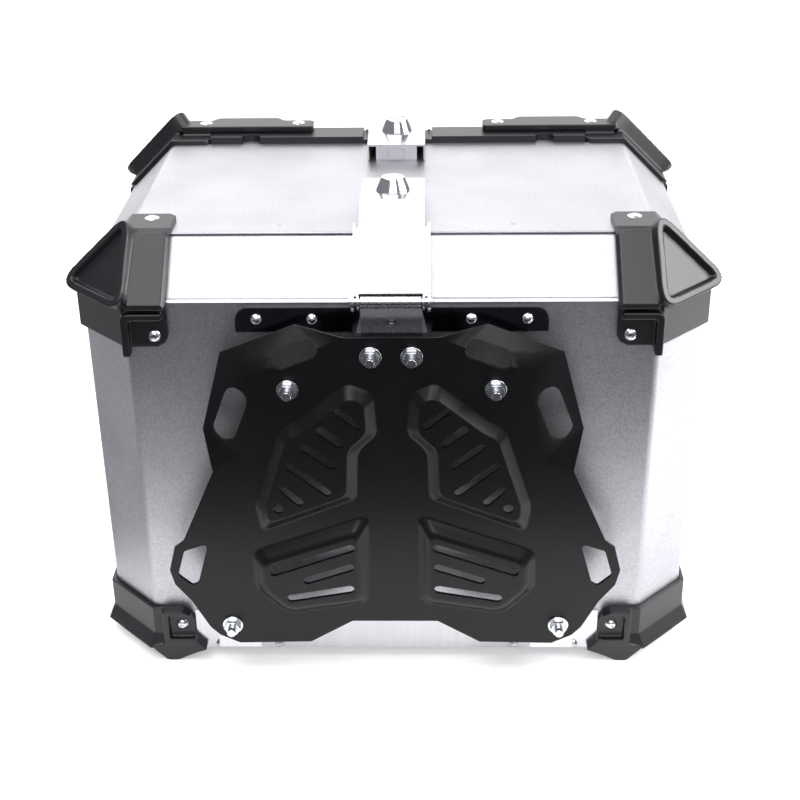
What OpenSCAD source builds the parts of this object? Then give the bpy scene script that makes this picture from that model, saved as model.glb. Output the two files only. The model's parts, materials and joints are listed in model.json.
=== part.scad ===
// Aluminium motorcycle top case with a clamp latch at the front and at the rear.
// The front, which carries the backrest plate, faces -Y. +X is to the right and +Z is up.
// Heights in the modules are measured from the ground. The finished pieces are lowered by floor_z,
// so that the origin lies on the case's underside, in the middle of the mounting holes.

/* [Case body] */
// Width of the case, left to right
body_w = 420; // [400:5:460]
// Depth of the case, front to rear
body_d = 300; // [290:5:340]
// Leg of each 45 degree corner chamfer
corner_leg = 35; // [32:1:38]
// Height of the case's underside above the ground
floor_z = 7; // [6:0.5:9]
// Height of the parting line between body and lid
seam_z = 282; // [262:2:320]
// Thickness of the aluminium sheet
sheet_t = 1.5; // [1.2:0.1:2]

/* [Lid] */
// Height of the lid's flat top above the parting line
lid_rise = 34; // [30:1:38]
// How far the flat top stands in from each side
lid_inset_x = 34; // [30:1:36]
// How far the flat top stands in from the front and the rear
lid_inset_y = 39; // [36:1:42]

/* [Corner guards] */
// Wall thickness of the plastic guards
guard_t = 3.5; // [3:0.5:4.5]
// Distance from the case's side to the inner edge of a guard
guard_reach = 63; // [58:1:68]
// Height of the foot guards
foot_h = 43; // [38:1:50]
// Height of the skirt of the upper guards
skirt_h = 30; // [26:1:34]

/* [Latches] */
// Width of the latch arm
arm_w = 43.4; // [40:0.2:46]
// Overall width of the latch's channel on the lid
channel_w = 51; // [49.8:0.2:54]
// Distance of the hinge pin in front of the case wall
pin_out = 11; // [10.5:0.5:12]
// Height of the hinge pin above the parting line
pin_up = 5; // [5:0.5:6]
// Radius of the hinge pin
pin_r = 2.5; // [2:0.1:3]
// Radius of the sleeve on the hinge pin
sleeve_r = 4; // [3.6:0.1:4.2]
// Distance of the lock from the case wall
lock_in = 79; // [76:1:82]

/* [Backrest] */
// Gap between the case wall and the back of the backrest plate
plate_gap = 24; // [22:0.5:26]
// Thickness of the backrest plate
plate_t = 2.5; // [2:0.1:3]
// Height of the raised vent panels
vent_rise = 5; // [4:0.5:6]
// Width of the upper bracket
upper_bracket_w = 205; // [195:1:215]

/* [Mounting] */
// Distance between the mounting holes, left to right
mount_dx = 180; // [150:5:190]
// Distance between the mounting holes, front to rear
mount_dy = 120; // [100:5:130]
// Radius of the mounting holes
mount_hole_r = 3.3; // [2.7:0.1:4.3]

/* [Hidden] */
$fn = 48;

// Derived places
half_w = body_w / 2;
half_d = body_d / 2;
top_z = seam_z + lid_rise;
top_half_w = half_w - lid_inset_x;
top_half_d = half_d - lid_inset_y;
wall_top_z = seam_z - 0.4;
flange_top_z = seam_z - 1.5;
guard_x = half_w - guard_reach;
guard_y = half_d - guard_reach - 4;
lid_slope_x = atan(lid_rise / lid_inset_x);
lid_slope_y = atan(lid_rise / lid_inset_y);
big = 600;
shank_clear = 0.1;

// Latch: distances are measured inwards from the case wall, heights from the ground
pin_y = -pin_out;
pin_z = seam_z + pin_up;
arm_tip_y = 111;
arm_fold_y = 54.7;
arm_tip_z = top_z + 13;
arm_fold_z = top_z + 17;
arm_end_y = -8.5;
arm_end_z = pin_z + 4.4;
arm_sheet_t = 1.4;
arm_flange_t = 1.2;
channel_t = 1.8;
lock_z = arm_tip_z + (arm_fold_z - arm_tip_z) * (arm_tip_y - lock_in) / (arm_tip_y - arm_fold_y);
lock_tilt = atan((arm_fold_z - arm_tip_z) / (arm_tip_y - arm_fold_y));
bezel_r = 11.8;
bezel_top_r = 9.45;
bezel_h = 9.5;
barrel_r = 7.5;
barrel_depth = 7.5;
core_r = 5;
cam_t = 1.6;
cam_len = 17;

// Backrest: Y of the plate's front face and of the brackets' outer flanges
plate_front_y = -half_d - plate_gap - plate_t;
plate_back_y = -half_d - plate_gap;
bracket_t = 2;
stud_sites = [[13.3, 255.5], [67.6, 232], [115, 45.6]];
stud_r = 3;
upper_rivet_x = [52, 88.6];
upper_rivet_z = 271;
lower_rivet_x = [86, 129];
lower_rivet_z = 10.8;
foot_hem_z = 10;
foot_flare = 8.5;
guard_screw_x = half_w - 54;
body_screw_z = seam_z - 22;
foot_screw_z = 29;
screw_r = 2.5;
hinge_screw_z = seam_z - 12;
hinge_screw_seat = 3.2;
panel_rivet_x = 79;
panel_rivet_y = half_d - 55;
tab_rivet_x = half_w - 47.5;
tab_rivet_y = half_d - 58;

// Rear rail and the rear guards' arms
rail_front = 65;
rail_back = 39.5;
rail_h = 5.4;
rail_low_h = 3;
rear_arm_inner_x = 67;
rear_arm_t = 5;
rear_arm_in = 53;
rear_rivet_x = [79, half_w - 57.4];
rear_rivet_y = half_d - 42.5;

// ---------- shared shapes ----------

// The case's plan outline, grown outwards by g
module outline(g = 0) {
    w = half_w + g;
    d = half_d + g;
    c = corner_leg + g * (2 - sqrt(2));
    polygon([
        [c - w, -d], [w - c, -d], [w, c - d], [w, d - c],
        [w - c, d], [c - w, d], [-w, d - c], [-w, c - d]
    ]);
}

// A ring that follows the case's plan, from g_in to g_out
module outline_ring(g_in, g_out) {
    difference() {
        outline(g_out);
        outline(g_in);
    }
}

// The lid's outer form, moved g outwards along every slanted face
module lid_form(g = 0) {
    side = g / sin(lid_slope_x);
    front = g / sin(lid_slope_y);
    slip_x = g / tan(lid_slope_x);
    slip_y = g / tan(lid_slope_y);
    hull() {
        translate([0, 0, seam_z])
            linear_extrude(0.01) {
                w = half_w + side;
                d = half_d + front;
                c = corner_leg + (side + front) * (1 - sqrt(2) / 2);
                polygon([
                    [c - w, -d], [w - c, -d], [w, c - d], [w, d - c],
                    [w - c, d], [c - w, d], [-w, d - c], [-w, c - d]
                ]);
            }
        translate([0, 0, top_z + g - 0.01])
            linear_extrude(0.01)
                square(2 * [top_half_w + side - slip_x, top_half_d + front - slip_y], center = true);
    }
}

// Extrudes a profile drawn in Y and Z along X, centred on X = 0
module across(width) {
    rotate([90, 0, 90])
        translate([0, 0, -width / 2])
            linear_extrude(width) children();
}

// Takes a latch profile, drawn with Y inwards from the wall, to the front wall
module at_front() {
    translate([0, -half_d, 0]) children();
}

// Puts the front's parts on the rear wall
module at_rear() {
    mirror([0, 1, 0]) at_front() children();
}

// Moves a shape made for the front right corner to another corner
module corner(side, end) {
    mirror([side < 0 ? 1 : 0, 0, 0])
        mirror([0, end > 0 ? 1 : 0, 0])
            children();
}

// The block of space over the front right corner that a guard takes up
module corner_block(z0, z1, x0 = guard_x, y0 = guard_y) {
    translate([x0, -y0 - big, z0])
        cube([big, big, z1 - z0]);
}

// A round head of diameter d and height h, standing on Z = 0
module dome(d, h) {
    r = (d * d / 4 + h * h) / (2 * h);
    intersection() {
        translate([0, 0, h - r]) sphere(r);
        cylinder(r = d, h = h + 1);
    }
}

// A blind rivet: domed head on Z = 0, shank downwards, with a set tail under the grip
module rivet(head_d, head_h, grip) {
    dome(head_d, head_h);
    translate([0, 0, -grip - 2]) cylinder(d = head_d * 0.5, h = grip + 2);
    translate([0, 0, -grip - 2]) cylinder(d = head_d * 0.6, h = 2);
}

// A button-head screw with a hexagon socket: head on Z = 0, shank and nut downwards
module socket_screw(grip) {
    difference() {
        dome(9.2, 2.8);
        translate([0, 0, 1.2]) cylinder(r = 1.7, h = 3, $fn = 6);
    }
    translate([0, 0, -grip - 5]) cylinder(r = screw_r, h = grip + 5);
    translate([0, 0, -grip - 4]) cylinder(r = 4.5, h = 4, $fn = 6);
}

// Puts children at every guard screw of one height, pointing out of the front and rear walls
module guard_screw_places(z, lift) {
    for (side = [-1, 1], end = [-1, 1])
        translate([side * guard_screw_x, end * (half_d + lift), z])
            rotate([end < 0 ? 90 : -90, 0, 0])
                children();
}

// Holes through the walls for the guard screws
module guard_screw_holes(z) {
    guard_screw_places(z, 0)
        translate([0, 0, -12])
            cylinder(r = screw_r + shank_clear, h = 30);
}

// Places on the front wall, mirrored left and right, pointing forwards
module front_places(xs, z, y) {
    for (x = xs, side = [-1, 1])
        translate([side * x, y, z])
            rotate([90, 0, 0])
                children();
}

// ---------- case body ----------

module body_shell() {
    color("silver")
        difference() {
            translate([0, 0, floor_z])
                linear_extrude(wall_top_z - floor_z) outline();
            translate([0, 0, floor_z + sheet_t])
                linear_extrude(flange_top_z - 2 * sheet_t - floor_z) outline(-sheet_t);
            translate([0, 0, floor_z + sheet_t])
                linear_extrude(big) outline(-9);
            translate([0, 0, flange_top_z])
                linear_extrude(big) outline(-sheet_t);
            mount_holes();
            guard_screw_holes(body_screw_z);
            guard_screw_holes(foot_screw_z);
            front_places(upper_rivet_x, upper_rivet_z, -half_d + 5)
                cylinder(r = 2 + shank_clear, h = 10);
            front_places(lower_rivet_x, lower_rivet_z, -half_d + 5)
                cylinder(r = 1.8 + shank_clear, h = 10);
            hinge_screw_places(-5)
                cylinder(r = 2 + shank_clear, h = 10);
        }
}

// The four holes for the rack's adapter plate
module mount_holes() {
    for (sx = [-1, 1], sy = [-1, 1])
        translate([sx * mount_dx / 2, sy * mount_dy / 2, floor_z - 1])
            cylinder(r = mount_hole_r, h = 10);
}

// Sheet that spreads the rack's load over the floor
module floor_stiffener() {
    color("gainsboro")
        difference() {
            translate([-mount_dx / 2 - 25, -mount_dy / 2 - 25, floor_z + sheet_t])
                cube([mount_dx + 50, mount_dy + 50, 2]);
            mount_holes();
        }
}

// Rubber seal that lies on the rim flange
module rim_seal() {
    color([0.1, 0.1, 0.1])
        translate([0, 0, flange_top_z])
            linear_extrude(seam_z - 0.3 - flange_top_z)
                outline_ring(-8.5, -sheet_t);
}

// Two-legged rib on one flat of an upper guard, grown by room on every side
module body_guard_rib(room = 0) {
    rib = 4.5;
    outer = half_w - corner_leg + 2;
    grown = 2 * [room, room, room];
    translate([guard_x + 3 - room, -half_d - 8.5 - room, seam_z - 9.5 - room])
        cube([outer - guard_x - 3, 8.5, rib] + grown);
    translate([outer - 5 - room, -half_d - 8.5 - room, seam_z - skirt_h - 4 - room])
        cube([5, 8.5, skirt_h - 5.5 + rib] + grown);
}

// Room that the lid's guard leaves for the body guard under it
module body_guard_space() {
    room = 0.5;
    linear_extrude(seam_z) outline(guard_t + room);
    body_guard_rib(room);
}

module body_guard(side, end) {
    color([0.13, 0.13, 0.14])
        difference() {
            corner(side, end)
                difference() {
                    union() {
                        intersection() {
                            translate([0, 0, seam_z - skirt_h])
                                linear_extrude(skirt_h - 1) outline(guard_t);
                            corner_block(0, seam_z);
                        }
                        body_guard_rib();
                    }
                    linear_extrude(seam_z) outline();
                }
            guard_screw_holes(body_screw_z);
        }
}

// Foot guard: a skirt round the corner with a flared hem, a toe in front and a pad below
module foot_guard(side, end) {
    hem_h = 12;
    color([0.13, 0.13, 0.14])
        difference() {
            corner(side, end)
                difference() {
                    intersection() {
                        union() {
                            translate([0, 0, foot_hem_z])
                                linear_extrude(foot_h - foot_hem_z) outline(guard_t);
                            hull() {
                                translate([0, 0, foot_hem_z]) linear_extrude(2) outline(foot_flare);
                                translate([0, 0, foot_hem_z + hem_h]) linear_extrude(0.01) outline(guard_t);
                            }
                            foot_pocket_rim();
                            foot_toe();
                            linear_extrude(floor_z) outline(-14);
                        }
                        corner_block(0, foot_h);
                    }
                    translate([0, 0, floor_z]) linear_extrude(foot_h) outline();
                }
            guard_screw_holes(foot_screw_z);
        }
}

// Toe of a foot guard: narrows down to the ground in front of the wall
module foot_toe() {
    tip_x = half_w - 45;
    translate([0, 20 - half_d, 0])
        rotate([90, 0, 0])
            linear_extrude(20 + foot_flare)
                polygon([
                    [guard_x - 1, foot_hem_z + 1], [guard_x - 1, foot_hem_z - 4], [tip_x - 5, 0], [tip_x + 3, 0],
                    [half_w - corner_leg + 3, foot_hem_z], [half_w - corner_leg + 3, foot_hem_z + 1]
                ]);
}

// Raised frame round the screw pocket of a foot guard
module foot_pocket_rim() {
    pocket = 19;
    rim = 4;
    translate([guard_screw_x - pocket / 2 - rim, -half_d - 9, foot_screw_z - 14])
        difference() {
            cube([pocket + 2 * rim, 9, 28]);
            translate([rim, -1, rim]) cube([pocket, 10, 20]);
        }
}

module body_guard_screws() {
    color("lightsteelblue")
        guard_screw_places(body_screw_z, guard_t) socket_screw(guard_t + sheet_t);
}

module foot_guard_screws() {
    color("lightsteelblue")
        guard_screw_places(foot_screw_z, guard_t) socket_screw(guard_t + sheet_t);
}

// ---------- hinge brackets ----------

// Saddle under the hinge sleeve, with a hollow front. gap is the room behind it for another bracket
module hinge_bracket(gap) {
    foot_drop = seam_z - 20;
    lip_z = pin_z - 3.6;
    difference() {
        union() {
            across(40)
                difference() {
                    polygon([
                        [0, seam_z - 2.4], [-gap, seam_z - 2.4], [-gap, foot_drop], [-4.5, foot_drop],
                        [pin_y - 1, seam_z - 4], [pin_y - 1, lip_z], [-2, lip_z], [0, seam_z - 0.8]
                    ]);
                    translate([pin_y, pin_z]) circle(sleeve_r + 0.3);
                    translate([-33.5, seam_z - 27]) circle(30.5);
                }
            for (side = [-1, 1])
                translate([side * 20, -gap, foot_drop])
                    rotate([0, 0, 180])
                        mirror([side < 0 ? 0 : 1, 0, 0])
                            hinge_bracket_wing();
        }
        translate([0, -20, hinge_screw_z])
            rotate([-90, 0, 0]) {
                cylinder(r = 2 + shank_clear, h = 30);
                cylinder(r = 3.8, h = 20 - hinge_screw_seat);
            }
    }
}

// Side flare of a hinge bracket
module hinge_bracket_wing() {
    rotate([90, 0, 0])
        mirror([0, 0, 1])
            linear_extrude(2.5)
                polygon([[0, 0], [3.25, 0], [0, 14]]);
}

// Where the one screw of each hinge bracket sits
module hinge_screw_places(lift) {
    for (end = [-1, 1])
        translate([0, end * (half_d + lift), hinge_screw_z])
            rotate([end < 0 ? 90 : -90, 0, 0])
                children();
}

module front_hinge_bracket() {
    color("gray") at_front() hinge_bracket(bracket_t);
}

module rear_hinge_bracket() {
    color("gray") at_rear() hinge_bracket(0);
}

module hinge_bracket_screws() {
    color("dimgray")
        hinge_screw_places(hinge_screw_seat) {
            dome(7, 1.2);
            translate([0, 0, -10]) cylinder(r = 2, h = 10);
            translate([0, 0, -8.7]) cylinder(r = 3.6, h = 3.2, $fn = 6);
        }
}

// ---------- backrest ----------

// Z-shaped bracket: wall flange, shelf and outer flange for four studs
module upper_backrest_bracket() {
    w = upper_bracket_w / 2;
    flange_top = seam_z - 3;
    shelf_top = seam_z - 20;
    tongue = 26;
    color([0.16, 0.16, 0.2])
        difference() {
            union() {
                difference() {
                    translate([-w, -half_d - bracket_t, shelf_top])
                        cube([2 * w, bracket_t, flange_top - shelf_top]);
                    translate([-23.5, -half_d - 5, flange_top - 1])
                        cube([47, 10, 5]);
                }
                translate([-tongue, plate_back_y, shelf_top - bracket_t])
                    cube([2 * tongue, plate_gap, bracket_t]);
                translate([0, plate_back_y + bracket_t, 0])
                    rotate([90, 0, 0])
                        linear_extrude(bracket_t)
                            polygon([
                                [-tongue, shelf_top], [tongue, shelf_top], [tongue, seam_z - 34],
                                [80, seam_z - 42], [80, seam_z - 60], [-80, seam_z - 60],
                                [-80, seam_z - 42], [-tongue, seam_z - 34]
                            ]);
            }
            front_places(upper_rivet_x, upper_rivet_z, -half_d + 5)
                cylinder(r = 2 + shank_clear, h = 10);
            stud_holes();
            hinge_screw_places(-5)
                cylinder(r = 2 + shank_clear, h = 10);
        }
}

// Lower bracket: a bright strip on the wall with two stand-off arms
module lower_backrest_bracket() {
    strip_half = guard_x - 1;
    arm_x0 = 96;
    arm_x1 = 126;
    arm_z = floor_z + 17;
    color("white")
        difference() {
            union() {
                translate([-strip_half, -half_d - bracket_t, floor_z])
                    cube([2 * strip_half, bracket_t, 33]);
                for (side = [-1, 1])
                    mirror([side < 0 ? 1 : 0, 0, 0]) {
                        translate([arm_x0, plate_back_y, arm_z])
                            cube([arm_x1 - arm_x0, plate_gap, bracket_t]);
                        translate([arm_x0, plate_back_y, arm_z])
                            cube([arm_x1 - arm_x0, bracket_t, 33]);
                    }
            }
            front_places(lower_rivet_x, lower_rivet_z, -half_d + 5)
                cylinder(r = 1.8 + shank_clear, h = 10);
            stud_holes();
        }
}

module upper_bracket_rivets() {
    color("white")
        front_places(upper_rivet_x, upper_rivet_z, -half_d - bracket_t)
            rivet(8, 3, bracket_t + sheet_t);
}

module lower_bracket_rivets() {
    color("white")
        front_places(lower_rivet_x, lower_rivet_z, -half_d - bracket_t)
            rivet(7.2, 3, bracket_t + sheet_t);
}

// Clearance holes for the six studs
module stud_holes() {
    for (site = stud_sites, side = [-1, 1])
        translate([side * site[0], plate_back_y + 5, site[1]])
            rotate([90, 0, 0])
                cylinder(r = stud_r + shank_clear, h = 12);
}

// Half of the plate's flat middle, from the centre line to the right
plate_flat = [
    [0, 269], [30, 269], [85, 245], [88, 240], [99, 177], [121, 170], [145, 115], [151.6, 110],
    [156.5, 91], [153.7, 79], [143, 65], [131.5, 43], [125, 36], [111, 29], [60, 30], [30, 48], [0, 48]
];
// Depth of the folded-back margins behind the plate's plane
fold_back = 15;
// Outer corners of the folded margins
peak = [62.5, 272];
shoulder = [113, 251.5];
hip = [128, 195];
waist = [121, 170];
// Corners of the loop cut-out on each side
loop_cut = [[128, 113], [145, 107], [150.8, 87], [141, 78], [137, 81]];
// Base outlines of the raised vent panels
upper_vent = [
    [10.7, 230], [29, 238], [64, 209], [76, 203], [94.5, 145], [91, 122],
    [23.5, 149], [22, 186], [8.6, 199]
];
lower_vent = [
    [22.7, 135], [16, 131], [16.4, 67], [21.8, 62.7], [76, 53.8], [99, 76.4], [98.5, 101], [95.5, 108.6]
];
// Slots as [outer end, inner end, radius]
upper_slots = [
    [[35, 218.6], [22.4, 207.7], 2.7], [[46.8, 204.6], [34.8, 195], 3.2],
    [[57.9, 191.7], [40.7, 178.3], 2.8], [[68.2, 177.3], [43.7, 157.4], 2.8],
    [[73.2, 159.6], [63, 149.9], 2.8]
];
lower_slots = [
    [[82.8, 93.8], [29.6, 113.2], 3.1], [[60, 87], [30.3, 97.5], 3], [[71.7, 72.1], [30.8, 79.6], 3.1]
];
strap_slots = [[[103, 222], [112, 198], 7.9], [[53.7, 259], [72, 252], 6.2]];

// A flat triangle of the plate, given as three [x, depth, z] corners
module plate_facet(a, b, c) {
    pts = [for (p = [a, b, c]) [p[0], plate_front_y + p[1], p[2]]];
    back = [for (p = pts) p + [0, plate_t, 0]];
    polyhedron(
        points = concat(pts, back),
        faces = [[0, 1, 2], [5, 4, 3], [0, 3, 4, 1], [1, 4, 5, 2], [2, 5, 3, 0]]
    );
}

// A point of the plate's outline with a depth
function deep(p, depth) = [p[0], depth, p[1]];

// A straight slot with round ends
module slot(a, b, r) {
    dir = (b - a) / norm(b - a);
    side = [-dir[1], dir[0]] * r;
    translate(a) circle(r);
    translate(b) circle(r);
    polygon([a + side, b + side, b - side, a - side]);
}

// Extrudes a plan of the plate towards the rear, starting at the depth y
module plate_cut(y, depth) {
    translate([0, y + depth, 0])
        rotate([90, 0, 0])
            linear_extrude(depth) children();
}

module backrest_half() {
    difference() {
        union() {
            plate_cut(plate_front_y, plate_t) polygon(plate_flat);
            plate_facet(deep([30, 269], 0), deep(peak, fold_back), deep([85, 245], 0));
            plate_facet(deep(peak, fold_back), deep(shoulder, fold_back + 1), deep([85, 245], 0));
            plate_facet(deep([85, 245], 0), deep(shoulder, fold_back + 1), deep([88, 240], 0));
            plate_facet(deep([88, 240], 0), deep(shoulder, fold_back + 1), deep(hip, fold_back));
            plate_facet(deep([88, 240], 0), deep(hip, fold_back), deep([99, 177], 0));
            plate_facet(deep([99, 177], 0), deep(hip, fold_back), deep(waist, 0));
            plate_cut(plate_front_y - vent_rise, vent_rise + 0.5) {
                polygon(upper_vent);
                polygon(lower_vent);
            }
        }
        plate_cut(plate_front_y - 20, 60) {
            polygon(loop_cut);
            for (s = concat(upper_slots, lower_slots, strap_slots))
                slot(s[0], s[1], s[2]);
            translate([77.5, 144.8]) circle(3.6);
        }
    }
}

module backrest_plate() {
    color([0.14, 0.14, 0.15])
        difference() {
            union() {
                backrest_half();
                mirror([1, 0, 0]) backrest_half();
            }
            stud_holes();
        }
}

module backrest_studs() {
    color("lightsteelblue")
        for (site = stud_sites, side = [-1, 1])
            translate([side * site[0], plate_back_y + 4.5, site[1]])
                rotate([90, 0, 0]) {
                    cylinder(r = stud_r, h = plate_t + 16);
                    cylinder(r = 5, h = 2.5, $fn = 6);
                }
}

module backrest_flange_nuts() {
    color("lightsteelblue")
        for (site = stud_sites, side = [-1, 1])
            translate([side * site[0], plate_front_y, site[1]])
                rotate([90, 0, 0])
                    difference() {
                        union() {
                            cylinder(r = 7.1, h = 1.6);
                            cylinder(r = 5.8, h = 6, $fn = 6);
                        }
                        translate([0, 0, -1]) cylinder(r = stud_r + 0.02, h = 10);
                    }
}

// ---------- lid ----------

// The lid's sheet between two offsets of its outer form
module lid_skin(g_out, g_in) {
    difference() {
        lid_form(g_out);
        lid_form(g_in);
    }
}

// Top with the bent left and right faces. It laps over the front and rear panels
module lid_top_sheet() {
    lap = top_half_d + 0.6;
    color("whitesmoke")
        difference() {
            intersection() {
                lid_skin(0, -sheet_t);
                translate([-big, -lap, seam_z + sheet_t]) cube([2 * big, 2 * lap, big]);
            }
            lid_rivet_holes();
        }
}

// Front slanted panel with its corner faces and a riveting flange under the top
module lid_panel() {
    intersection() {
        lid_skin(-sheet_t, -2 * sheet_t);
        translate([-big, -big, seam_z + sheet_t])
            cube([2 * big, big - panel_rivet_y + 10, big]);
    }
}

module lid_front_panel() {
    color("white")
        difference() {
            lid_panel();
            lid_rivet_holes();
        }
}

module lid_rear_panel() {
    color("white")
        difference() {
            mirror([0, 1, 0]) lid_panel();
            lid_rivet_holes();
        }
}

// Flat frame that stiffens the lid's edge and presses on the seal
module lid_rim_frame() {
    color("silver")
        intersection() {
            translate([0, 0, seam_z])
                linear_extrude(sheet_t)
                    outline_ring(-12, 0);
            lid_form(0);
        }
}

// Holes for the rivets that stand in the lid's flat top
module lid_rivet_holes() {
    for (side = [-1, 1])
        for (place = [[panel_rivet_x, -panel_rivet_y], [tab_rivet_x, -tab_rivet_y], [rear_rivet_x[0], rear_rivet_y]])
            translate([side * place[0], place[1], top_z - 10])
                cylinder(r = 2.3, h = 40);
}

module lid_panel_rivets() {
    color("lightgray")
        for (side = [-1, 1])
            translate([side * panel_rivet_x, -panel_rivet_y, top_z]) {
                dome(9, 0.9);
                translate([0, 0, -5]) cylinder(r = 2.2, h = 5);
                translate([0, 0, -5]) cylinder(r = 3.2, h = 2);
            }
}

// ---------- lid guards ----------

// Tab, strips and corner skin that lie on the lid's faces
module lid_guard_skin() {
    intersection() {
        lid_skin(guard_t, 0);
        corner_block(seam_z, big);
    }
}

// Local frame of the triangular corner face: X level, Y up the face, Z outwards
module on_corner_face() {
    mid = [half_w - corner_leg / 2, -half_d + corner_leg / 2];
    inward = norm([mid[0] - top_half_w, mid[1] + top_half_d]);
    tilt = atan(lid_rise / inward);
    translate([mid[0] * 2 / 3 + top_half_w / 3, mid[1] * 2 / 3 - top_half_d / 3, seam_z + lid_rise / 3])
        rotate([tilt, 0, 45])
            children();
}

// Triangle with round corners, grown by g and with its tip raised by tip
module wing_outline(g, tip) {
    hull()
        for (p = [[-26 - g, -15 - g * 0.58], [26 + g, -15 - g * 0.58], [1, 30 + tip + g * 1.15]])
            translate(p) circle(6, $fn = 32);
}

// Cup over the corner: a rounded triangular rim with a sunk middle
module lid_guard_wing(tip) {
    rim_h = 8;
    floor_h = 4;
    on_corner_face()
        difference() {
            translate([0, 0, -3]) linear_extrude(rim_h + 3) wing_outline(0, tip);
            translate([0, 0, floor_h]) linear_extrude(rim_h) wing_outline(-6, tip);
        }
}

module lid_guard(side, end) {
    color([0.13, 0.13, 0.14])
        difference() {
            corner(side, end)
                difference() {
                    union() {
                        lid_guard_skin();
                        lid_guard_wing(end > 0 ? 8 : 0);
                    }
                    lid_form(0);
                    body_guard_space();
                    if (end > 0)
                        linear_extrude(seam_z + 1.5) outline(60);
                }
            lid_rivet_holes();
        }
    if (end > 0)
        color([0.13, 0.13, 0.14]) rear_guard_arm(side);
}

// Raised bar of a rear guard, above the cross rail
module rear_guard_arm(side) {
    x1 = top_half_w - 6;
    narrow = 18;
    mirror([side < 0 ? 1 : 0, 0, 0])
        difference() {
            union() {
                translate([rear_arm_inner_x, half_d - rear_arm_in, top_z + rail_h])
                    cube([x1 - rear_arm_inner_x, narrow, rear_arm_t]);
                translate([92, half_d - rear_arm_in, top_z + rail_h])
                    cube([56, narrow + 7, rear_arm_t]);
                translate([guard_x + 1, half_d - rear_arm_in, top_z + guard_t - 0.5])
                    cube([x1 - guard_x - 1, narrow, rail_h + rear_arm_t - guard_t + 0.5]);
            }
            for (x = rear_rivet_x)
                translate([x, rear_rivet_y, top_z])
                    cylinder(r = 2.3, h = 30);
        }
}

// Rail across the lid's rear edge, with bays round the panel rivets
module rear_cross_rail() {
    bay_x = 115;
    color([0.13, 0.13, 0.14])
        difference() {
            translate([-guard_x + 0.2, half_d - rail_front, top_z])
                cube([2 * guard_x - 0.4, rail_front - rail_back, rail_h]);
            translate([-27, half_d - rail_front - 1, top_z + rail_low_h])
                cube([54, rail_front, rail_h]);
            for (side = [-1, 1]) {
                translate([side * bay_x, half_d - rail_front, top_z - 1])
                    cylinder(r = 7, h = 20);
                translate([side * rear_rivet_x[0], rear_rivet_y, top_z - 1])
                    cylinder(r = 2.3, h = 20);
            }
        }
}

module lid_guard_rivets() {
    arm_top = top_z + rail_h + rear_arm_t;
    color("white") {
        for (side = [-1, 1])
            translate([side * tab_rivet_x, -tab_rivet_y, top_z + guard_t])
                tab_rivet(guard_t + 2 * sheet_t);
        for (side = [-1, 1])
            translate([side * rear_rivet_x[0], rear_rivet_y, arm_top])
                tab_rivet(rail_h + rear_arm_t + 2 * sheet_t);
        for (side = [-1, 1])
            translate([side * rear_rivet_x[1], rear_rivet_y, arm_top])
                tab_rivet(rail_h + rear_arm_t - guard_t);
    }
}

// Broad low rivet of the guards
module tab_rivet(grip) {
    dome(10, 1.4);
    translate([0, 0, -grip]) cylinder(r = 2.2, h = grip);
}

// ---------- latches ----------

// Side view of the arm, without the eye round the pin
module arm_profile() {
    low = top_z + 1;
    polygon([
        [arm_tip_y, low], [arm_tip_y, arm_tip_z], [arm_fold_y, arm_fold_z], [arm_end_y, arm_end_z],
        [pin_y - 1, pin_z], [pin_y, pin_z - 3], [1, seam_z + 3.6], [37, top_z + 1], [38, top_z + 3.6],
        [68, top_z + 3.6], [70, low]
    ]);
}

// The space under the arm's sheet, between its side flanges
module arm_hollow() {
    drop = arm_sheet_t / cos(33);
    polygon([
        [arm_tip_y + 1, 0], [arm_tip_y + 1, arm_tip_z - arm_sheet_t], [arm_fold_y, arm_fold_z - drop],
        [arm_end_y, arm_end_z - drop], [-30, arm_end_z - drop - 14], [-30, 0]
    ]);
}

module latch_arm() {
    eye_r = 5.6;
    difference() {
        union() {
            across(arm_w) arm_profile();
            across(arm_w) translate([pin_y, pin_z]) circle(eye_r);
        }
        across(arm_w - 2 * arm_flange_t) arm_hollow();
        across(arm_w - 2 * arm_flange_t)
            translate([pin_y, pin_z]) circle(sleeve_r + 0.6);
        across(arm_w - 2 * arm_flange_t)
            translate([pin_y - 10, pin_z - 10]) square([10, 20]);
        across(arm_w + 2) translate([pin_y, pin_z]) circle(pin_r + 0.05);
        lock_frame() translate([0, 0, -10]) cylinder(r = barrel_r + 0.02, h = 20);
    }
}

// Local frame of the lock: origin on the arm's sheet, Z out of it
module lock_frame() {
    translate([0, lock_in, lock_z])
        rotate([-lock_tilt, 0, 0])
            children();
}

module front_latch_arm() {
    color("white") at_front() latch_arm();
}

module rear_latch_arm() {
    color("white") at_rear() latch_arm();
}

// Chromed cone round the keyway, with its threaded barrel under the arm
module lock_bezel() {
    lock_frame()
        difference() {
            union() {
                cylinder(r1 = bezel_r, r2 = bezel_top_r, h = bezel_h);
                translate([0, 0, -barrel_depth]) cylinder(r = barrel_r, h = barrel_depth);
            }
            translate([0, 0, -20]) cylinder(r = core_r + 0.05, h = 40);
        }
}

module front_lock_bezel() {
    color("gainsboro") at_front() lock_bezel();
}

module rear_lock_bezel() {
    color("gainsboro") at_rear() lock_bezel();
}

// Turning cylinder with a keyway that lies across the arm
module lock_core() {
    lock_frame()
        difference() {
            translate([0, 0, -barrel_depth - cam_t])
                cylinder(r = core_r, h = bezel_h + barrel_depth + cam_t - 0.4);
            translate([-3.6, -0.6, bezel_h - 5]) cube([7.2, 1.2, 10]);
            translate([0, 0, -barrel_depth - cam_t - 1]) cylinder(r = 1.6, h = 4);
        }
}

module front_lock_core() {
    color("silver") at_front() lock_core();
}

module rear_lock_core() {
    color("silver") at_rear() lock_core();
}

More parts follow.
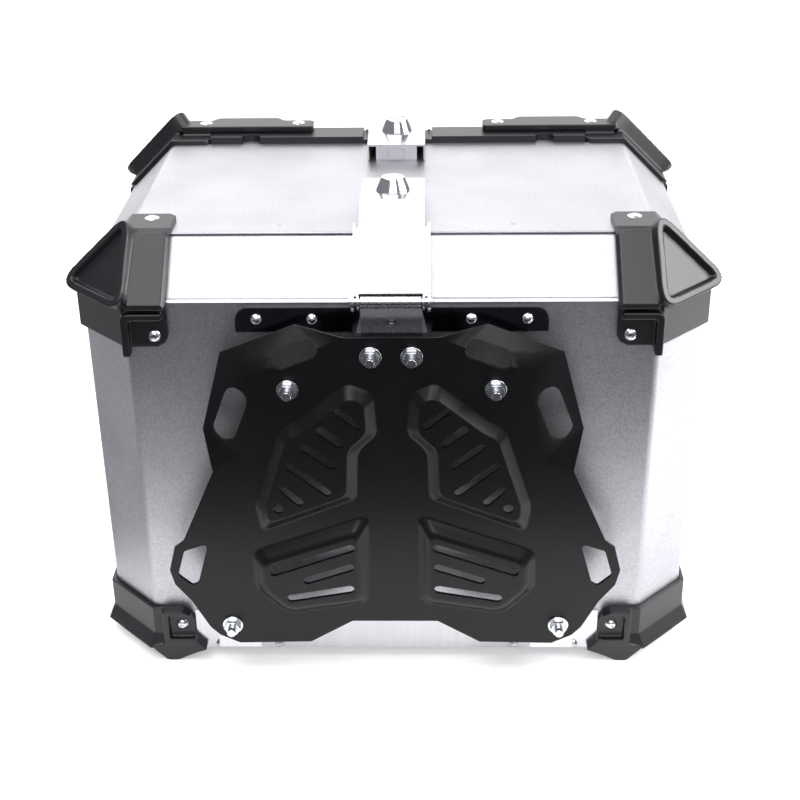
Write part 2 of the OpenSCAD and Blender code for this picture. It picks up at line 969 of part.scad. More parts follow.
// Tongue under the lock. It lies across the arm and turns under the catch's lip
module lock_cam() {
    lock_frame()
        translate([0, 0, -barrel_depth - cam_t])
            difference() {
                union() {
                    cylinder(r = 7, h = cam_t);
                    translate([0, -4, 0]) cube([cam_len, 8, cam_t]);
                }
                translate([0, 0, -1]) cylinder(r = core_r, h = 5);
            }
}

module front_lock_cam() {
    color("gray") at_front() lock_cam();
}

module rear_lock_cam() {
    color("gray") at_rear() lock_cam();
}

// Channel on the lid: a base on the slanted face and two cheeks outside the arm
module channel() {
    cheek_top = 5;
    difference() {
        union() {
            across(channel_w)
                polygon([
                    [0.2, seam_z + 0.4], [lid_inset_y, top_z + 0.4], [44, top_z], [44, top_z + cheek_top],
                    [38, top_z + 6.5], [pin_y - 4.5, pin_z + 4.5], [pin_y, pin_z], [pin_y, pin_z - 7],
                    [-2, seam_z - 0.6]
                ]);
            across(channel_w) translate([pin_y, pin_z]) circle(6.8);
        }
        across(channel_w - 2 * channel_t) channel_hollow();
        across(channel_w + 2) translate([pin_y, pin_z]) circle(pin_r + 0.01);
    }
}

// Space between the cheeks, above the base's sheet
module channel_hollow() {
    rise = sheet_t / cos(lid_slope_y);
    polygon([
        [-40, seam_z - 30], [1.8, seam_z - 30], [1.8, seam_z + rise + 1.4],
        [lid_inset_y, top_z + rise - 0.3], [60, top_z + rise - 0.3], [60, top_z + 40], [-40, top_z + 40]
    ]);
}

module front_channel() {
    color("white")
        difference() {
            at_front() channel();
            lid_form(0);
        }
}

module rear_channel() {
    color("white")
        difference() {
            at_rear() channel();
            lid_form(0);
            rear_cross_rail();
        }
}

// Pin with a set head at each end
module hinge_pin() {
    head = 1.6;
    translate([0, pin_y, pin_z]) {
        rotate([0, 90, 0])
            cylinder(r = pin_r, h = channel_w, center = true);
        for (side = [-1, 1])
            translate([side * (channel_w + head) / 2, 0, 0])
                rotate([0, 90, 0])
                    cylinder(r = pin_r + 1, h = head, center = true);
    }
}

module front_hinge_pin() {
    color("silver") at_front() hinge_pin();
}

module rear_hinge_pin() {
    color("silver") at_rear() hinge_pin();
}

// Sleeve on the pin, between the arm's flanges. It rolls in the body's saddle
module hinge_sleeve() {
    translate([0, pin_y, pin_z])
        rotate([0, 90, 0])
            difference() {
                cylinder(r = sleeve_r, h = 39.4, center = true);
                cylinder(r = pin_r + 0.01, h = 60, center = true);
            }
}

module front_hinge_sleeve() {
    color("silver") at_front() hinge_sleeve();
}

module rear_hinge_sleeve() {
    color("silver") at_rear() hinge_sleeve();
}

// Catch on the lid's top: a foot, an upright and the lip that the tongue turns under
module catch_plate() {
    half = 15.5;
    upright_y = 106;
    lip_z = lock_z - barrel_depth + 1.6;
    across(2 * half)
        polygon([
            [92, top_z], [upright_y + 1.5, top_z], [upright_y + 1.5, lip_z + 1.5], [93.5, lip_z + 1.5],
            [93.5, lip_z], [upright_y, lip_z], [upright_y, top_z + 1.5], [92, top_z + 1.5]
        ]);
    translate([-6, upright_y + 1.5, top_z + 2]) cube([12, 1.2, 6]);
}

module front_catch() {
    color("lightgray") at_front() catch_plate();
}

module rear_catch() {
    color("lightgray") at_rear() catch_plate();
}

// ---------- assembly ----------

// Lowers a piece so that the case's underside lies at height 0
module lowered() {
    translate([0, 0, -floor_z]) children();
}

lowered() body_shell();
lowered() floor_stiffener();
lowered() rim_seal();
lowered() body_guard(-1, -1);  // body_guard_front_left
lowered() body_guard(1, -1);  // body_guard_front_right
lowered() body_guard(-1, 1);  // body_guard_rear_left
lowered() body_guard(1, 1);  // body_guard_rear_right
lowered() foot_guard(-1, -1);  // foot_guard_front_left
lowered() foot_guard(1, -1);  // foot_guard_front_right
lowered() foot_guard(-1, 1);  // foot_guard_rear_left
lowered() foot_guard(1, 1);  // foot_guard_rear_right
lowered() body_guard_screws();
lowered() foot_guard_screws();
lowered() front_hinge_bracket();
lowered() rear_hinge_bracket();
lowered() hinge_bracket_screws();
lowered() upper_backrest_bracket();
lowered() lower_backrest_bracket();
lowered() upper_bracket_rivets();
lowered() lower_bracket_rivets();
lowered() backrest_plate();
lowered() backrest_studs();
lowered() backrest_flange_nuts();
lowered() lid_top_sheet();
lowered() lid_front_panel();
lowered() lid_rear_panel();
lowered() lid_rim_frame();
lowered() lid_panel_rivets();
lowered() lid_guard(-1, -1);  // lid_guard_front_left
lowered() lid_guard(1, -1);  // lid_guard_front_right
lowered() lid_guard(-1, 1);  // lid_guard_rear_left
lowered() lid_guard(1, 1);  // lid_guard_rear_right
lowered() rear_cross_rail();
lowered() lid_guard_rivets();
lowered() front_channel();
lowered() rear_channel();
lowered() front_hinge_pin();
lowered() rear_hinge_pin();
lowered() front_hinge_sleeve();
lowered() rear_hinge_sleeve();
lowered() front_catch();
lowered() rear_catch();
lowered() front_latch_arm();
lowered() rear_latch_arm();
lowered() front_lock_bezel();
lowered() rear_lock_bezel();
lowered() front_lock_core();
lowered() rear_lock_core();
lowered() front_lock_cam();
lowered() rear_lock_cam();
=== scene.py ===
"""Looks of an aluminium motorcycle top case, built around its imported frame.

Sizes in the classes are millimetres and heights are measured from the ground. `at` turns them into
places in the frame, in metres.
"""
import json
import logging
import math
from collections.abc import Callable, Iterator, Sequence
from contextlib import contextmanager
from dataclasses import dataclass
from enum import Enum
from functools import cache

import bmesh
import bpy
from bpy.types import Material, Node, NodeSocket, NodeTree, Object
from mathutils import Matrix, Vector


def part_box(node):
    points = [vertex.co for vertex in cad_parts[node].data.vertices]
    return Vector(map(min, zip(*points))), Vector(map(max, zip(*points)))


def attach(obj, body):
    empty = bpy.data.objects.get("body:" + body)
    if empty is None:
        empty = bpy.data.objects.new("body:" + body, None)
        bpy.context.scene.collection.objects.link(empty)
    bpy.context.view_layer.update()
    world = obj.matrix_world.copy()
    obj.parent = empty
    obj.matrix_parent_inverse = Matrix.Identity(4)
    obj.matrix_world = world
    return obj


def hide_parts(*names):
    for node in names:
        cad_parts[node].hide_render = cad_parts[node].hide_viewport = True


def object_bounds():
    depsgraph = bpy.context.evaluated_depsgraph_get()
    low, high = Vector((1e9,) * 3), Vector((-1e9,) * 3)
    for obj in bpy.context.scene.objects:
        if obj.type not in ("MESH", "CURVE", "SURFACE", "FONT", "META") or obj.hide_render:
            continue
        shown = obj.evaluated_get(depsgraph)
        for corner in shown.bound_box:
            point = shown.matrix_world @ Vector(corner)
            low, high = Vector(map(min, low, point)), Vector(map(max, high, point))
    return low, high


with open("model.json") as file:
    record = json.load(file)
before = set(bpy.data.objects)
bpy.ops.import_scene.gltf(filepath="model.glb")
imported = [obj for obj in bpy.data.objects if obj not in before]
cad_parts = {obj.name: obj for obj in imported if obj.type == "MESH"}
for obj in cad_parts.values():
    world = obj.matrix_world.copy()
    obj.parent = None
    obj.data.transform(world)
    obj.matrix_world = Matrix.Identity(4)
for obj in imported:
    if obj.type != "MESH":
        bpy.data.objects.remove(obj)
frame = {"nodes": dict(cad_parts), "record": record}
CAD_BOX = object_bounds()

LOG = logging.getLogger("top_case")
MM = 0.001
GROUND = CAD_BOX[0].z
BODY_OF = {
    node: body
    for body, nodes in frame["record"]["behaviour"]["bodies"].items()
    for node in nodes
}
SLOT_OF = {part["node"]: part["material_slot"] for part in frame["record"]["subparts"]}
Outline = Sequence[tuple[float, ...]]
Slots = tuple[tuple[tuple[float, float], tuple[float, float], float], ...]


# ---------------- places and outlines

def at(x: float, y: float, z: float) -> Vector:
    """A place in the frame, in metres.

    Args:
        x: millimetres to the right.
        y: millimetres to the rear.
        z: millimetres above the ground.

    Returns:
        The place in the frame.
    """
    return Vector((x * MM, y * MM, GROUND + z * MM))


def rounded(corners: Outline, radius: float, steps: int = 4) -> Outline:
    """An outline with each corner turned into a curve.

    Args:
        corners: the corners; a third number is that corner's own radius.
        radius: the radius of the other corners, in the outline's units.
        steps: segments in each curve.

    Returns:
        The points of the rounded outline.
    """
    points = []
    count = len(corners)
    for index, corner in enumerate(corners):
        here = Vector(corner[:2])
        back = Vector(corners[index - 1][:2]) - here
        ahead = Vector(corners[(index + 1) % count][:2]) - here
        own = corner[2] if len(corner) > 2 else radius
        if own <= 0:
            points.append(tuple(here))
            continue
        reach = own / math.tan(back.angle(ahead) / 2)
        reach = min(reach, 0.48 * back.length, 0.48 * ahead.length)
        start = here + back.normalized() * reach
        end = here + ahead.normalized() * reach
        for step in range(steps + 1):
            share = step / steps
            point = start * (1 - share) ** 2 + here * 2 * share * (1 - share) + end * share ** 2
            points.append(tuple(point))
    return points


def capsule(start: tuple[float, float], end: tuple[float, float], radius: float, steps: int = 8) -> Outline:
    """The outline of a straight slot with round ends.

    Args:
        start: the centre of one end.
        end: the centre of the other end.
        radius: half the slot's width.
        steps: segments in each round end.

    Returns:
        The points of the slot's outline.
    """
    heading = math.atan2(end[1] - start[1], end[0] - start[0])
    points = []
    for centre, first in ((end, heading - math.pi / 2), (start, heading + math.pi / 2)):
        for step in range(steps + 1):
            angle = first + math.pi * step / steps
            points.append((centre[0] + radius * math.cos(angle), centre[1] + radius * math.sin(angle)))
    return points


# ---------------- modelling by operators

def select_only(piece: Object) -> None:
    """Makes one object the selected and active one.

    Args:
        piece: the object.
    """
    bpy.ops.object.select_all(action="DESELECT")
    piece.select_set(True)
    bpy.context.view_layer.objects.active = piece


@contextmanager
def editing(piece: Object, start: str = "DESELECT") -> Iterator[None]:
    """Edit mode on one object.

    Args:
        piece: the object to edit.
        start: "SELECT" or "DESELECT", for its whole mesh.
    """
    select_only(piece)
    bpy.ops.object.mode_set(mode="EDIT")
    bpy.ops.mesh.select_all(action=start)
    yield
    bpy.ops.object.mode_set(mode="OBJECT")


def pick(piece: Object, kind: str, test: Callable[..., bool]) -> None:
    """Selects parts of the edited mesh by their place or normal, and nothing else.

    Args:
        piece: the object in edit mode.
        kind: "VERT", "EDGE" or "FACE".
        test: says whether an element is wanted.
    """
    bpy.ops.mesh.select_mode(type=kind)
    bpy.ops.mesh.select_all(action="DESELECT")
    shape = bmesh.from_edit_mesh(piece.data)
    elements = {"VERT": shape.verts, "EDGE": shape.edges, "FACE": shape.faces}[kind]
    for element in [element for element in elements if test(element)]:
        element.select_set(True)
    shape.select_flush_mode()
    bmesh.update_edit_mesh(piece.data)


def bevel(
    piece: Object, test: Callable[..., bool], width: float, segments: int = 1, clamp: bool = False,
) -> None:
    """Bevels chosen edges of the edited mesh.

    Args:
        piece: the object in edit mode.
        test: says whether an edge is wanted.
        width: the bevel's width in millimetres.
        segments: segments across the bevel.
        clamp: whether it stops where bevels meet.
    """
    pick(piece, "EDGE", test)
    bpy.ops.mesh.bevel(offset=width * MM, segments=segments, affect="EDGES", clamp_overlap=clamp)


def middle(edge: bmesh.types.BMEdge) -> Vector:
    """The middle of an edge."""
    return (edge.verts[0].co + edge.verts[1].co) / 2


def heading(edge: bmesh.types.BMEdge) -> Vector:
    """The direction of an edge, as a unit vector."""
    return (edge.verts[1].co - edge.verts[0].co).normalized()


def upright(edge: bmesh.types.BMEdge) -> bool:
    """Whether an edge runs straight up."""
    return abs(heading(edge).z) > 0.999


def settle(piece: Object) -> Object:
    """Puts an object's place, turn and size into its mesh.

    Args:
        piece: the object.

    Returns:
        The same object.
    """
    select_only(piece)
    bpy.ops.object.transform_apply(location=True, rotation=True, scale=True)
    return piece


def block(name: str, low: Vector, high: Vector) -> Object:
    """A box between two corners, as the start of a piece.

    Args:
        name: the object's name.
        low: the lowest corner.
        high: the highest corner.

    Returns:
        The box.
    """
    bpy.ops.object.select_all(action="DESELECT")
    bpy.ops.mesh.primitive_cube_add(size=1, location=(low + high) / 2, scale=high - low)
    piece = bpy.context.object
    piece.name = name
    return settle(piece)


def sheet_face(name: str, points: Sequence[Vector]) -> Object:
    """A flat face drawn corner by corner.

    Args:
        name: the object's name.
        points: the corners in order, in the frame.

    Returns:
        The face's object.
    """
    bpy.ops.object.select_all(action="DESELECT")
    bpy.ops.mesh.primitive_plane_add(size=MM, location=points[0])
    piece = settle(bpy.context.object)
    piece.name = name
    with editing(piece, "SELECT"):
        bpy.ops.mesh.merge(type="CENTER")
        bpy.ops.mesh.select_mode(type="VERT")
        bpy.ops.mesh.select_all(action="SELECT")
        for here, following in zip(points, points[1:]):
            bpy.ops.mesh.extrude_region_move(TRANSFORM_OT_translate={"value": following - here})
        bpy.ops.mesh.select_all(action="SELECT")
        bpy.ops.mesh.edge_face_add()
    return piece


def prism(name: str, points: Sequence[Vector], along: Vector) -> Object:
    """A flat outline extruded into a closed solid.

    Args:
        name: the object's name.
        points: the outline's corners, in the frame.
        along: how far and where to it is extruded.

    Returns:
        The solid.
    """
    piece = sheet_face(name, points)
    with editing(piece, "SELECT"):
        bpy.ops.mesh.extrude_region_move(TRANSFORM_OT_translate={"value": along})
    face_outwards(piece)
    return piece


def front_solid(name: str, outline: Outline, start: float, reach: float) -> Object:
    """A solid on an outline seen from the front.

    Args:
        name: the object's name.
        outline: the outline, as (right, up).
        start: where it starts, in millimetres to the rear.
        reach: how far it runs to the rear.

    Returns:
        The solid.
    """
    return prism(name, [at(x, start, z) for x, z in outline], Vector((0, reach * MM, 0)))


def face_outwards(piece: Object) -> None:
    """Merges doubled corners and turns a closed mesh's faces outwards.

    Args:
        piece: the object.
    """
    with editing(piece, "SELECT"):
        bpy.ops.mesh.remove_doubles(threshold=1e-6)
        bpy.ops.mesh.normals_make_consistent(inside=False)


def turned(name: str, profile: Outline, place: Matrix, steps: int = 32) -> Object:
    """A round solid made by spinning a profile, as on a lathe.

    Args:
        name: the object's name.
        profile: (radius, height) points in millimetres, from the axis round to the axis.
        place: the frame whose Z is the axis.
        steps: segments round the axis.

    Returns:
        The solid.
    """
    piece = sheet_face(name, [Vector((radius * MM, 0, height * MM)) for radius, height in profile])
    with editing(piece, "SELECT"):
        bpy.ops.mesh.delete(type="ONLY_FACE")
        pick(piece, "EDGE", lambda edge: max(corner.co.x for corner in edge.verts) < 1e-7)
        bpy.ops.mesh.delete(type="EDGE")
        bpy.ops.mesh.select_all(action="SELECT")
        bpy.ops.mesh.spin(steps=steps, angle=2 * math.pi, center=(0, 0, 0), axis=(0, 0, 1))
    face_outwards(piece)
    piece.matrix_world = place
    return settle(piece)


def apply_modifier(piece: Object, kind: str, **settings: object) -> None:
    """Adds a modifier with its settings and applies it.

    Args:
        piece: the object.
        kind: the modifier's type.
        **settings: its settings.
    """
    select_only(piece)
    modifier = piece.modifiers.new(kind.title(), kind)
    for name, value in settings.items():
        setattr(modifier, name, value)
    bpy.ops.object.modifier_apply(modifier=modifier.name)


def thicken(piece: Object, sheet: float) -> None:
    """Gives a skin its sheet's thickness, inwards.

    Args:
        piece: the object.
        sheet: the thickness in millimetres.
    """
    apply_modifier(piece, "SOLIDIFY", thickness=sheet * MM, offset=-1.0, use_even_offset=True)


def mirror_half(piece: Object) -> None:
    """Adds the left half to a right half and joins them in the middle.

    Args:
        piece: the right half.
    """
    apply_modifier(
        piece, "MIRROR", use_axis=(True, False, False), use_clip=True, merge_threshold=0.01 * MM,
    )


def combine(piece: Object, others: Sequence[Object], operation: str = "UNION") -> None:
    """Joins solids to a piece, or cuts them from it, and removes them.

    Args:
        piece: the piece that stays.
        others: the solids used up.
        operation: "UNION" or "DIFFERENCE".
    """
    for other in others:
        apply_modifier(piece, "BOOLEAN", object=other, operation=operation, solver="EXACT")
        bpy.data.objects.remove(other)


def carve(name: str, parts: Sequence[Object], cutters: Sequence[Object]) -> Object:
    """Cuts every cutter from every part and joins the parts, which may run into each other.

    Args:
        name: the joined object's name.
        parts: closed solids, used up.
        cutters: closed solids, used up.

    Returns:
        The joined object, ready for `mould`.
    """
    for part in parts:
        combine(part, [duplicate(cutter, "cutter") for cutter in cutters], "DIFFERENCE")
    for cutter in cutters:
        bpy.data.objects.remove(cutter)
    select_only(parts[0])
    for part in parts[1:]:
        part.select_set(True)
    bpy.ops.object.join()
    parts[0].name = name
    return parts[0]


def soften(piece: Object, width: float, segments: int = 2, angle: float = 32) -> None:
    """Rounds every edge sharper than an angle.

    Args:
        piece: the object.
        width: the rounding's width in millimetres.
        segments: segments across the rounding.
        angle: the smallest angle that is rounded, in degrees.
    """
    apply_modifier(
        piece, "BEVEL", width=width * MM, segments=segments, limit_method="ANGLE",
        angle_limit=math.radians(angle), miter_outer="MITER_ARC", harden_normals=False,
    )


def mould(piece: Object, grid: float, passes: int = 2) -> None:
    """Turns sharp joined solids into one moulded skin whose inner and outer edges are filleted.

    Args:
        piece: the object.
        grid: the size of the new faces in millimetres, about the fillets' radius.
        passes: how often the skin is smoothed.
    """
    apply_modifier(piece, "REMESH", mode="VOXEL", voxel_size=grid * MM, use_smooth_shade=True)
    apply_modifier(piece, "SMOOTH", factor=0.5, iterations=passes)
    apply_modifier(piece, "DECIMATE", decimate_type="COLLAPSE", ratio=0.5)


def duplicate(piece: Object, name: str, flip_x: bool = False, flip_y: bool = False) -> Object:
    """A copy with its own mesh, mirrored if wanted.

    Args:
        piece: the object to copy.
        name: the copy's name.
        flip_x: mirrors left to right.
        flip_y: mirrors front to rear.

    Returns:
        The copy.
    """
    twin = bpy.data.objects.new(name, piece.data.copy())
    bpy.context.scene.collection.objects.link(twin)
    if flip_x or flip_y:
        twin.scale = (-1 if flip_x else 1, -1 if flip_y else 1, 1)
        settle(twin)
        if flip_x != flip_y:
            face_outwards(twin)
    return twin


# ---------------- finishes

class Pattern(Enum):
    """How a surface's fine structure is spread."""

    GRAIN = "even grain, as blasting or moulding leaves it"
    PEEL = "shallow rounded cells, as on a sprayed coat"
    STREAK = "fine lines along the sheet, as polishing leaves them"


def linear(colour: str) -> tuple[float, float, float, float]:
    """An sRGB hex colour as linear light.

    Args:
        colour: the colour, such as "#8090a0".

    Returns:
        Red, green, blue and alpha.
    """
    parts = [int(colour[place:place + 2], 16) / 255 for place in (1, 3, 5)]
    bright = [part / 12.92 if part <= 0.04045 else ((part + 0.055) / 1.055) ** 2.4 for part in parts]
    return (*bright, 1.0)


def add_node(
    tree: NodeTree, kind: str, settings: dict[str, object], links: dict[str, NodeSocket] | None = None,
) -> Node:
    """Adds a node with its settings and links.

    Args:
        tree: the material's or the world's tree.
        kind: the node's type.
        settings: values by property or by input name.
        links: the socket that feeds each named input.

    Returns:
        The node.
    """
    node = tree.nodes.new(kind)
    for name, value in settings.items():
        if hasattr(node, name):
            setattr(node, name, value)
        else:
            node.inputs[name].default_value = value
    for name, source in (links or {}).items():
        tree.links.new(source, node.inputs[name])
    return node


@dataclass(frozen=True)
class Finish:
    """A surface: its two tones, its gloss, and its grain at real size."""

    name: str
    colour: str
    shade: str
    roughness: float
    swing: float
    grain: float
    depth: float
    clouds: float = 60.0
    metallic: float = 0.0
    ior: float = 1.45
    pattern: Pattern = Pattern.GRAIN

    @cache
    def material(self) -> Material:
        """Builds the finish's material on Object coordinates, once for each finish.

        Returns:
            The material.
        """
        material = bpy.data.materials.new(self.name)
        material.use_nodes = True
        tree = material.node_tree
        tree.nodes.clear()
        place = add_node(tree, "ShaderNodeTexCoord", {})
        source = place.outputs["Object"]
        if self.pattern is Pattern.STREAK:
            stretch = add_node(tree, "ShaderNodeMapping", {"Scale": (1.0, 0.04, 0.04)}, {"Vector": source})
            source = stretch.outputs["Vector"]
        if self.pattern is Pattern.PEEL:
            fine = add_node(
                tree, "ShaderNodeTexVoronoi", {"feature": "SMOOTH_F1", "Scale": 1 / (self.grain * MM)},
                {"Vector": source},
            )
            height = fine.outputs["Distance"]
        else:
            fine = add_node(
                tree, "ShaderNodeTexNoise",
                {"Scale": 1 / (self.grain * MM), "Detail": 3.0, "Roughness": 0.6}, {"Vector": source},
            )
            height = fine.outputs["Fac"]
        cloud = add_node(
            tree, "ShaderNodeTexNoise", {"Scale": 1 / (self.clouds * MM), "Detail": 2.0},
            {"Vector": place.outputs["Object"]},
        )
        blend = add_node(
            tree, "ShaderNodeMath", {"operation": "MULTIPLY_ADD", "use_clamp": True},
            {0: height, 1: cloud.outputs["Fac"], 2: height},
        )
        spread = add_node(
            tree, "ShaderNodeMapRange", {"From Min": 0.35, "From Max": 1.1}, {"Value": blend.outputs[0]},
        )
        tone = add_node(
            tree, "ShaderNodeMix", {"data_type": "RGBA"}, {"Factor": spread.outputs["Result"]},
        )
        tone.inputs[6].default_value = linear(self.shade)
        tone.inputs[7].default_value = linear(self.colour)
        gloss = add_node(
            tree, "ShaderNodeMapRange",
            {"To Min": self.roughness - self.swing, "To Max": self.roughness + self.swing},
            {"Value": height},
        )
        bump = add_node(
            tree, "ShaderNodeBump", {"Distance": self.depth * MM, "Strength": 1.0}, {"Height": height},
        )
        settings = {"Metallic": self.metallic}
        if not self.metallic:
            settings["IOR"] = self.ior
        shader = add_node(
            tree, "ShaderNodeBsdfPrincipled", settings,
            {
                "Base Color": tone.outputs[2], "Roughness": gloss.outputs["Result"],
                "Normal": bump.outputs["Normal"],
            },
        )
        add_node(tree, "ShaderNodeOutputMaterial", {}, {"Surface": shader.outputs["BSDF"]})
        return material


# Anodised aluminium, glass-bead blasted before anodising: a broad soft sheen with a sparkling grain.
# Real beads are 0.2 mm; the grain is drawn at 1.1 mm, as coarse as it needs to show.
BLASTED_ALUMINIUM = Finish(
    "blasted_anodised_aluminium", "#c4c4c8", "#9c9ca1", 0.43, 0.10, 1.1, 0.07, metallic=1.0,
)
# Glass-filled nylon, moulded against an eroded tool: near black, dull, with a fine even grain.
MOULDED_NYLON = Finish("grained_black_nylon", "#131318", "#09090d", 0.38, 0.07, 0.8, 0.05, ior=1.5)
# Powder coat on steel sheet, sprayed and baked: satin black with a shallow orange peel.
POWDER_COAT = Finish(
    "satin_black_powder_coat", "#0e0e11", "#08080a", 0.31, 0.04, 1.6, 0.01, ior=1.34, pattern=Pattern.PEEL,
)
# Stainless steel sheet, bright rolled and polished along its length: clear reflections, faint lines.
POLISHED_STEEL = Finish(
    "polished_stainless_sheet", "#cdcdd1", "#c1c1c6", 0.2, 0.05, 4.0, 0.002,
    metallic=1.0, pattern=Pattern.STREAK,
)
# Stainless steel sheet, mirror rolled and left dark: it shows the room almost black.
DARK_STEEL = Finish(
    "mirror_rolled_stainless", "#5c5e68", "#4a4c56", 0.22, 0.04, 5.0, 0.002,
    metallic=1.0, pattern=Pattern.STREAK,
)
# Textured coat on a steel pressing, sprayed with sand in it: mid grey and rough.
SAND_COAT = Finish("sand_textured_grey_coat", "#8c8c90", "#47474b", 0.5, 0.15, 1.2, 0.15, metallic=0.3)
# Zinc-plated steel, barrel plated after cold heading: silvery with a soft gloss.
ZINC_PLATE = Finish(
    "bright_zinc_plate", "#e6e7ea", "#c0c3ca", 0.22, 0.05, 2.5, 0.006, clouds=8.0, metallic=1.0,
)
# Chrome on die-cast zinc, buffed before plating: mirror bright.
CHROME = Finish("buffed_chrome", "#e4e4e6", "#dadade", 0.12, 0.03, 6.0, 0.001, metallic=1.0)
# Cast steel roller, tumbled: bright, with the small pits of the casting.
TUMBLED_STEEL = Finish("tumbled_steel_roller", "#d4d4d6", "#9c9ca0", 0.26, 0.1, 1.2, 0.03, metallic=1.0)
# EPDM rubber strip, extruded: black and dull.
SEAL_RUBBER = Finish("extruded_epdm_rubber", "#161617", "#0e0e0f", 0.7, 0.05, 0.8, 0.03, ior=1.52)

FINISH_OF_SLOT = {
    "aluminium": BLASTED_ALUMINIUM, "guard": MOULDED_NYLON, "seal": SEAL_RUBBER,
    "dark_steel": DARK_STEEL, "steel": POLISHED_STEEL, "cast": SAND_COAT,
    "black_coat": POWDER_COAT, "fastener": ZINC_PLATE, "chrome": CHROME,
}


# ---------------- fitting pieces to the frame

def install(piece: Object, nodes: Sequence[str], finish: Finish | None = None, smooth: float = 32) -> None:
    """Dresses a finished piece, puts it on the body of the CAD nodes it stands for and hides them.

    Args:
        piece: the finished piece.
        nodes: the CAD nodes that it replaces, all on one body.
        finish: its finish, if not the one of its material slot.
        smooth: the angle below which its faces are shaded as one, in degrees.
    """
    select_only(piece)
    bpy.ops.object.shade_smooth_by_angle(angle=math.radians(smooth))
    apply_modifier(piece, "WEIGHTED_NORMAL", keep_sharp=True, weight=60)
    slot = SLOT_OF[nodes[0]]
    piece.data.materials.clear()
    piece.data.materials.append((finish or FINISH_OF_SLOT[slot]).material())
    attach(piece, BODY_OF[nodes[0]])
    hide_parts(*nodes)
    LOG.info("%s: %d faces, on %s", piece.name, len(piece.data.polygons), BODY_OF[nodes[0]])


def merged(node: str) -> Object:
    """A copy of a CAD node whose split faces are merged again.

    Args:
        node: the CAD node's name.

    Returns:
        The copy.
    """
    piece = bpy.data.objects.new(f"{node}_deburred", frame["nodes"][node].data.copy())
    bpy.context.scene.collection.objects.link(piece)
    with editing(piece, "SELECT"):
        bpy.ops.mesh.customdata_custom_splitnormals_clear()
        bpy.ops.mesh.remove_doubles(threshold=1e-6)
        bpy.ops.mesh.dissolve_limited(angle_limit=math.radians(0.5))
    return piece


def deburr(
    node: str, width: float, segments: int = 2, finish: Finish | None = None, smooth: float = 32,
) -> None:
    """Puts a copy with merged faces and rounded edges in place of a CAD node.

    Args:
        node: the CAD node's name.
        width: the rounding's width in millimetres.
        segments: segments across the rounding.
        finish: its finish, if not the one of its material slot.
        smooth: the angle below which its faces are shaded as one, in degrees.
    """
    piece = merged(node)
    soften(piece, width, segments)
    install(piece, [node], finish, smooth)


def dress(node: str) -> None:
    """Gives a carried-over CAD node the finish of its material slot.

    Args:
        node: the CAD node's name.
    """
    piece = frame["nodes"][node]
    piece.data.materials.clear()
    piece.data.materials.append(FINISH_OF_SLOT[SLOT_OF[node]].material())
    LOG.info("%s: carried over", node)


# ---------------- the case's form

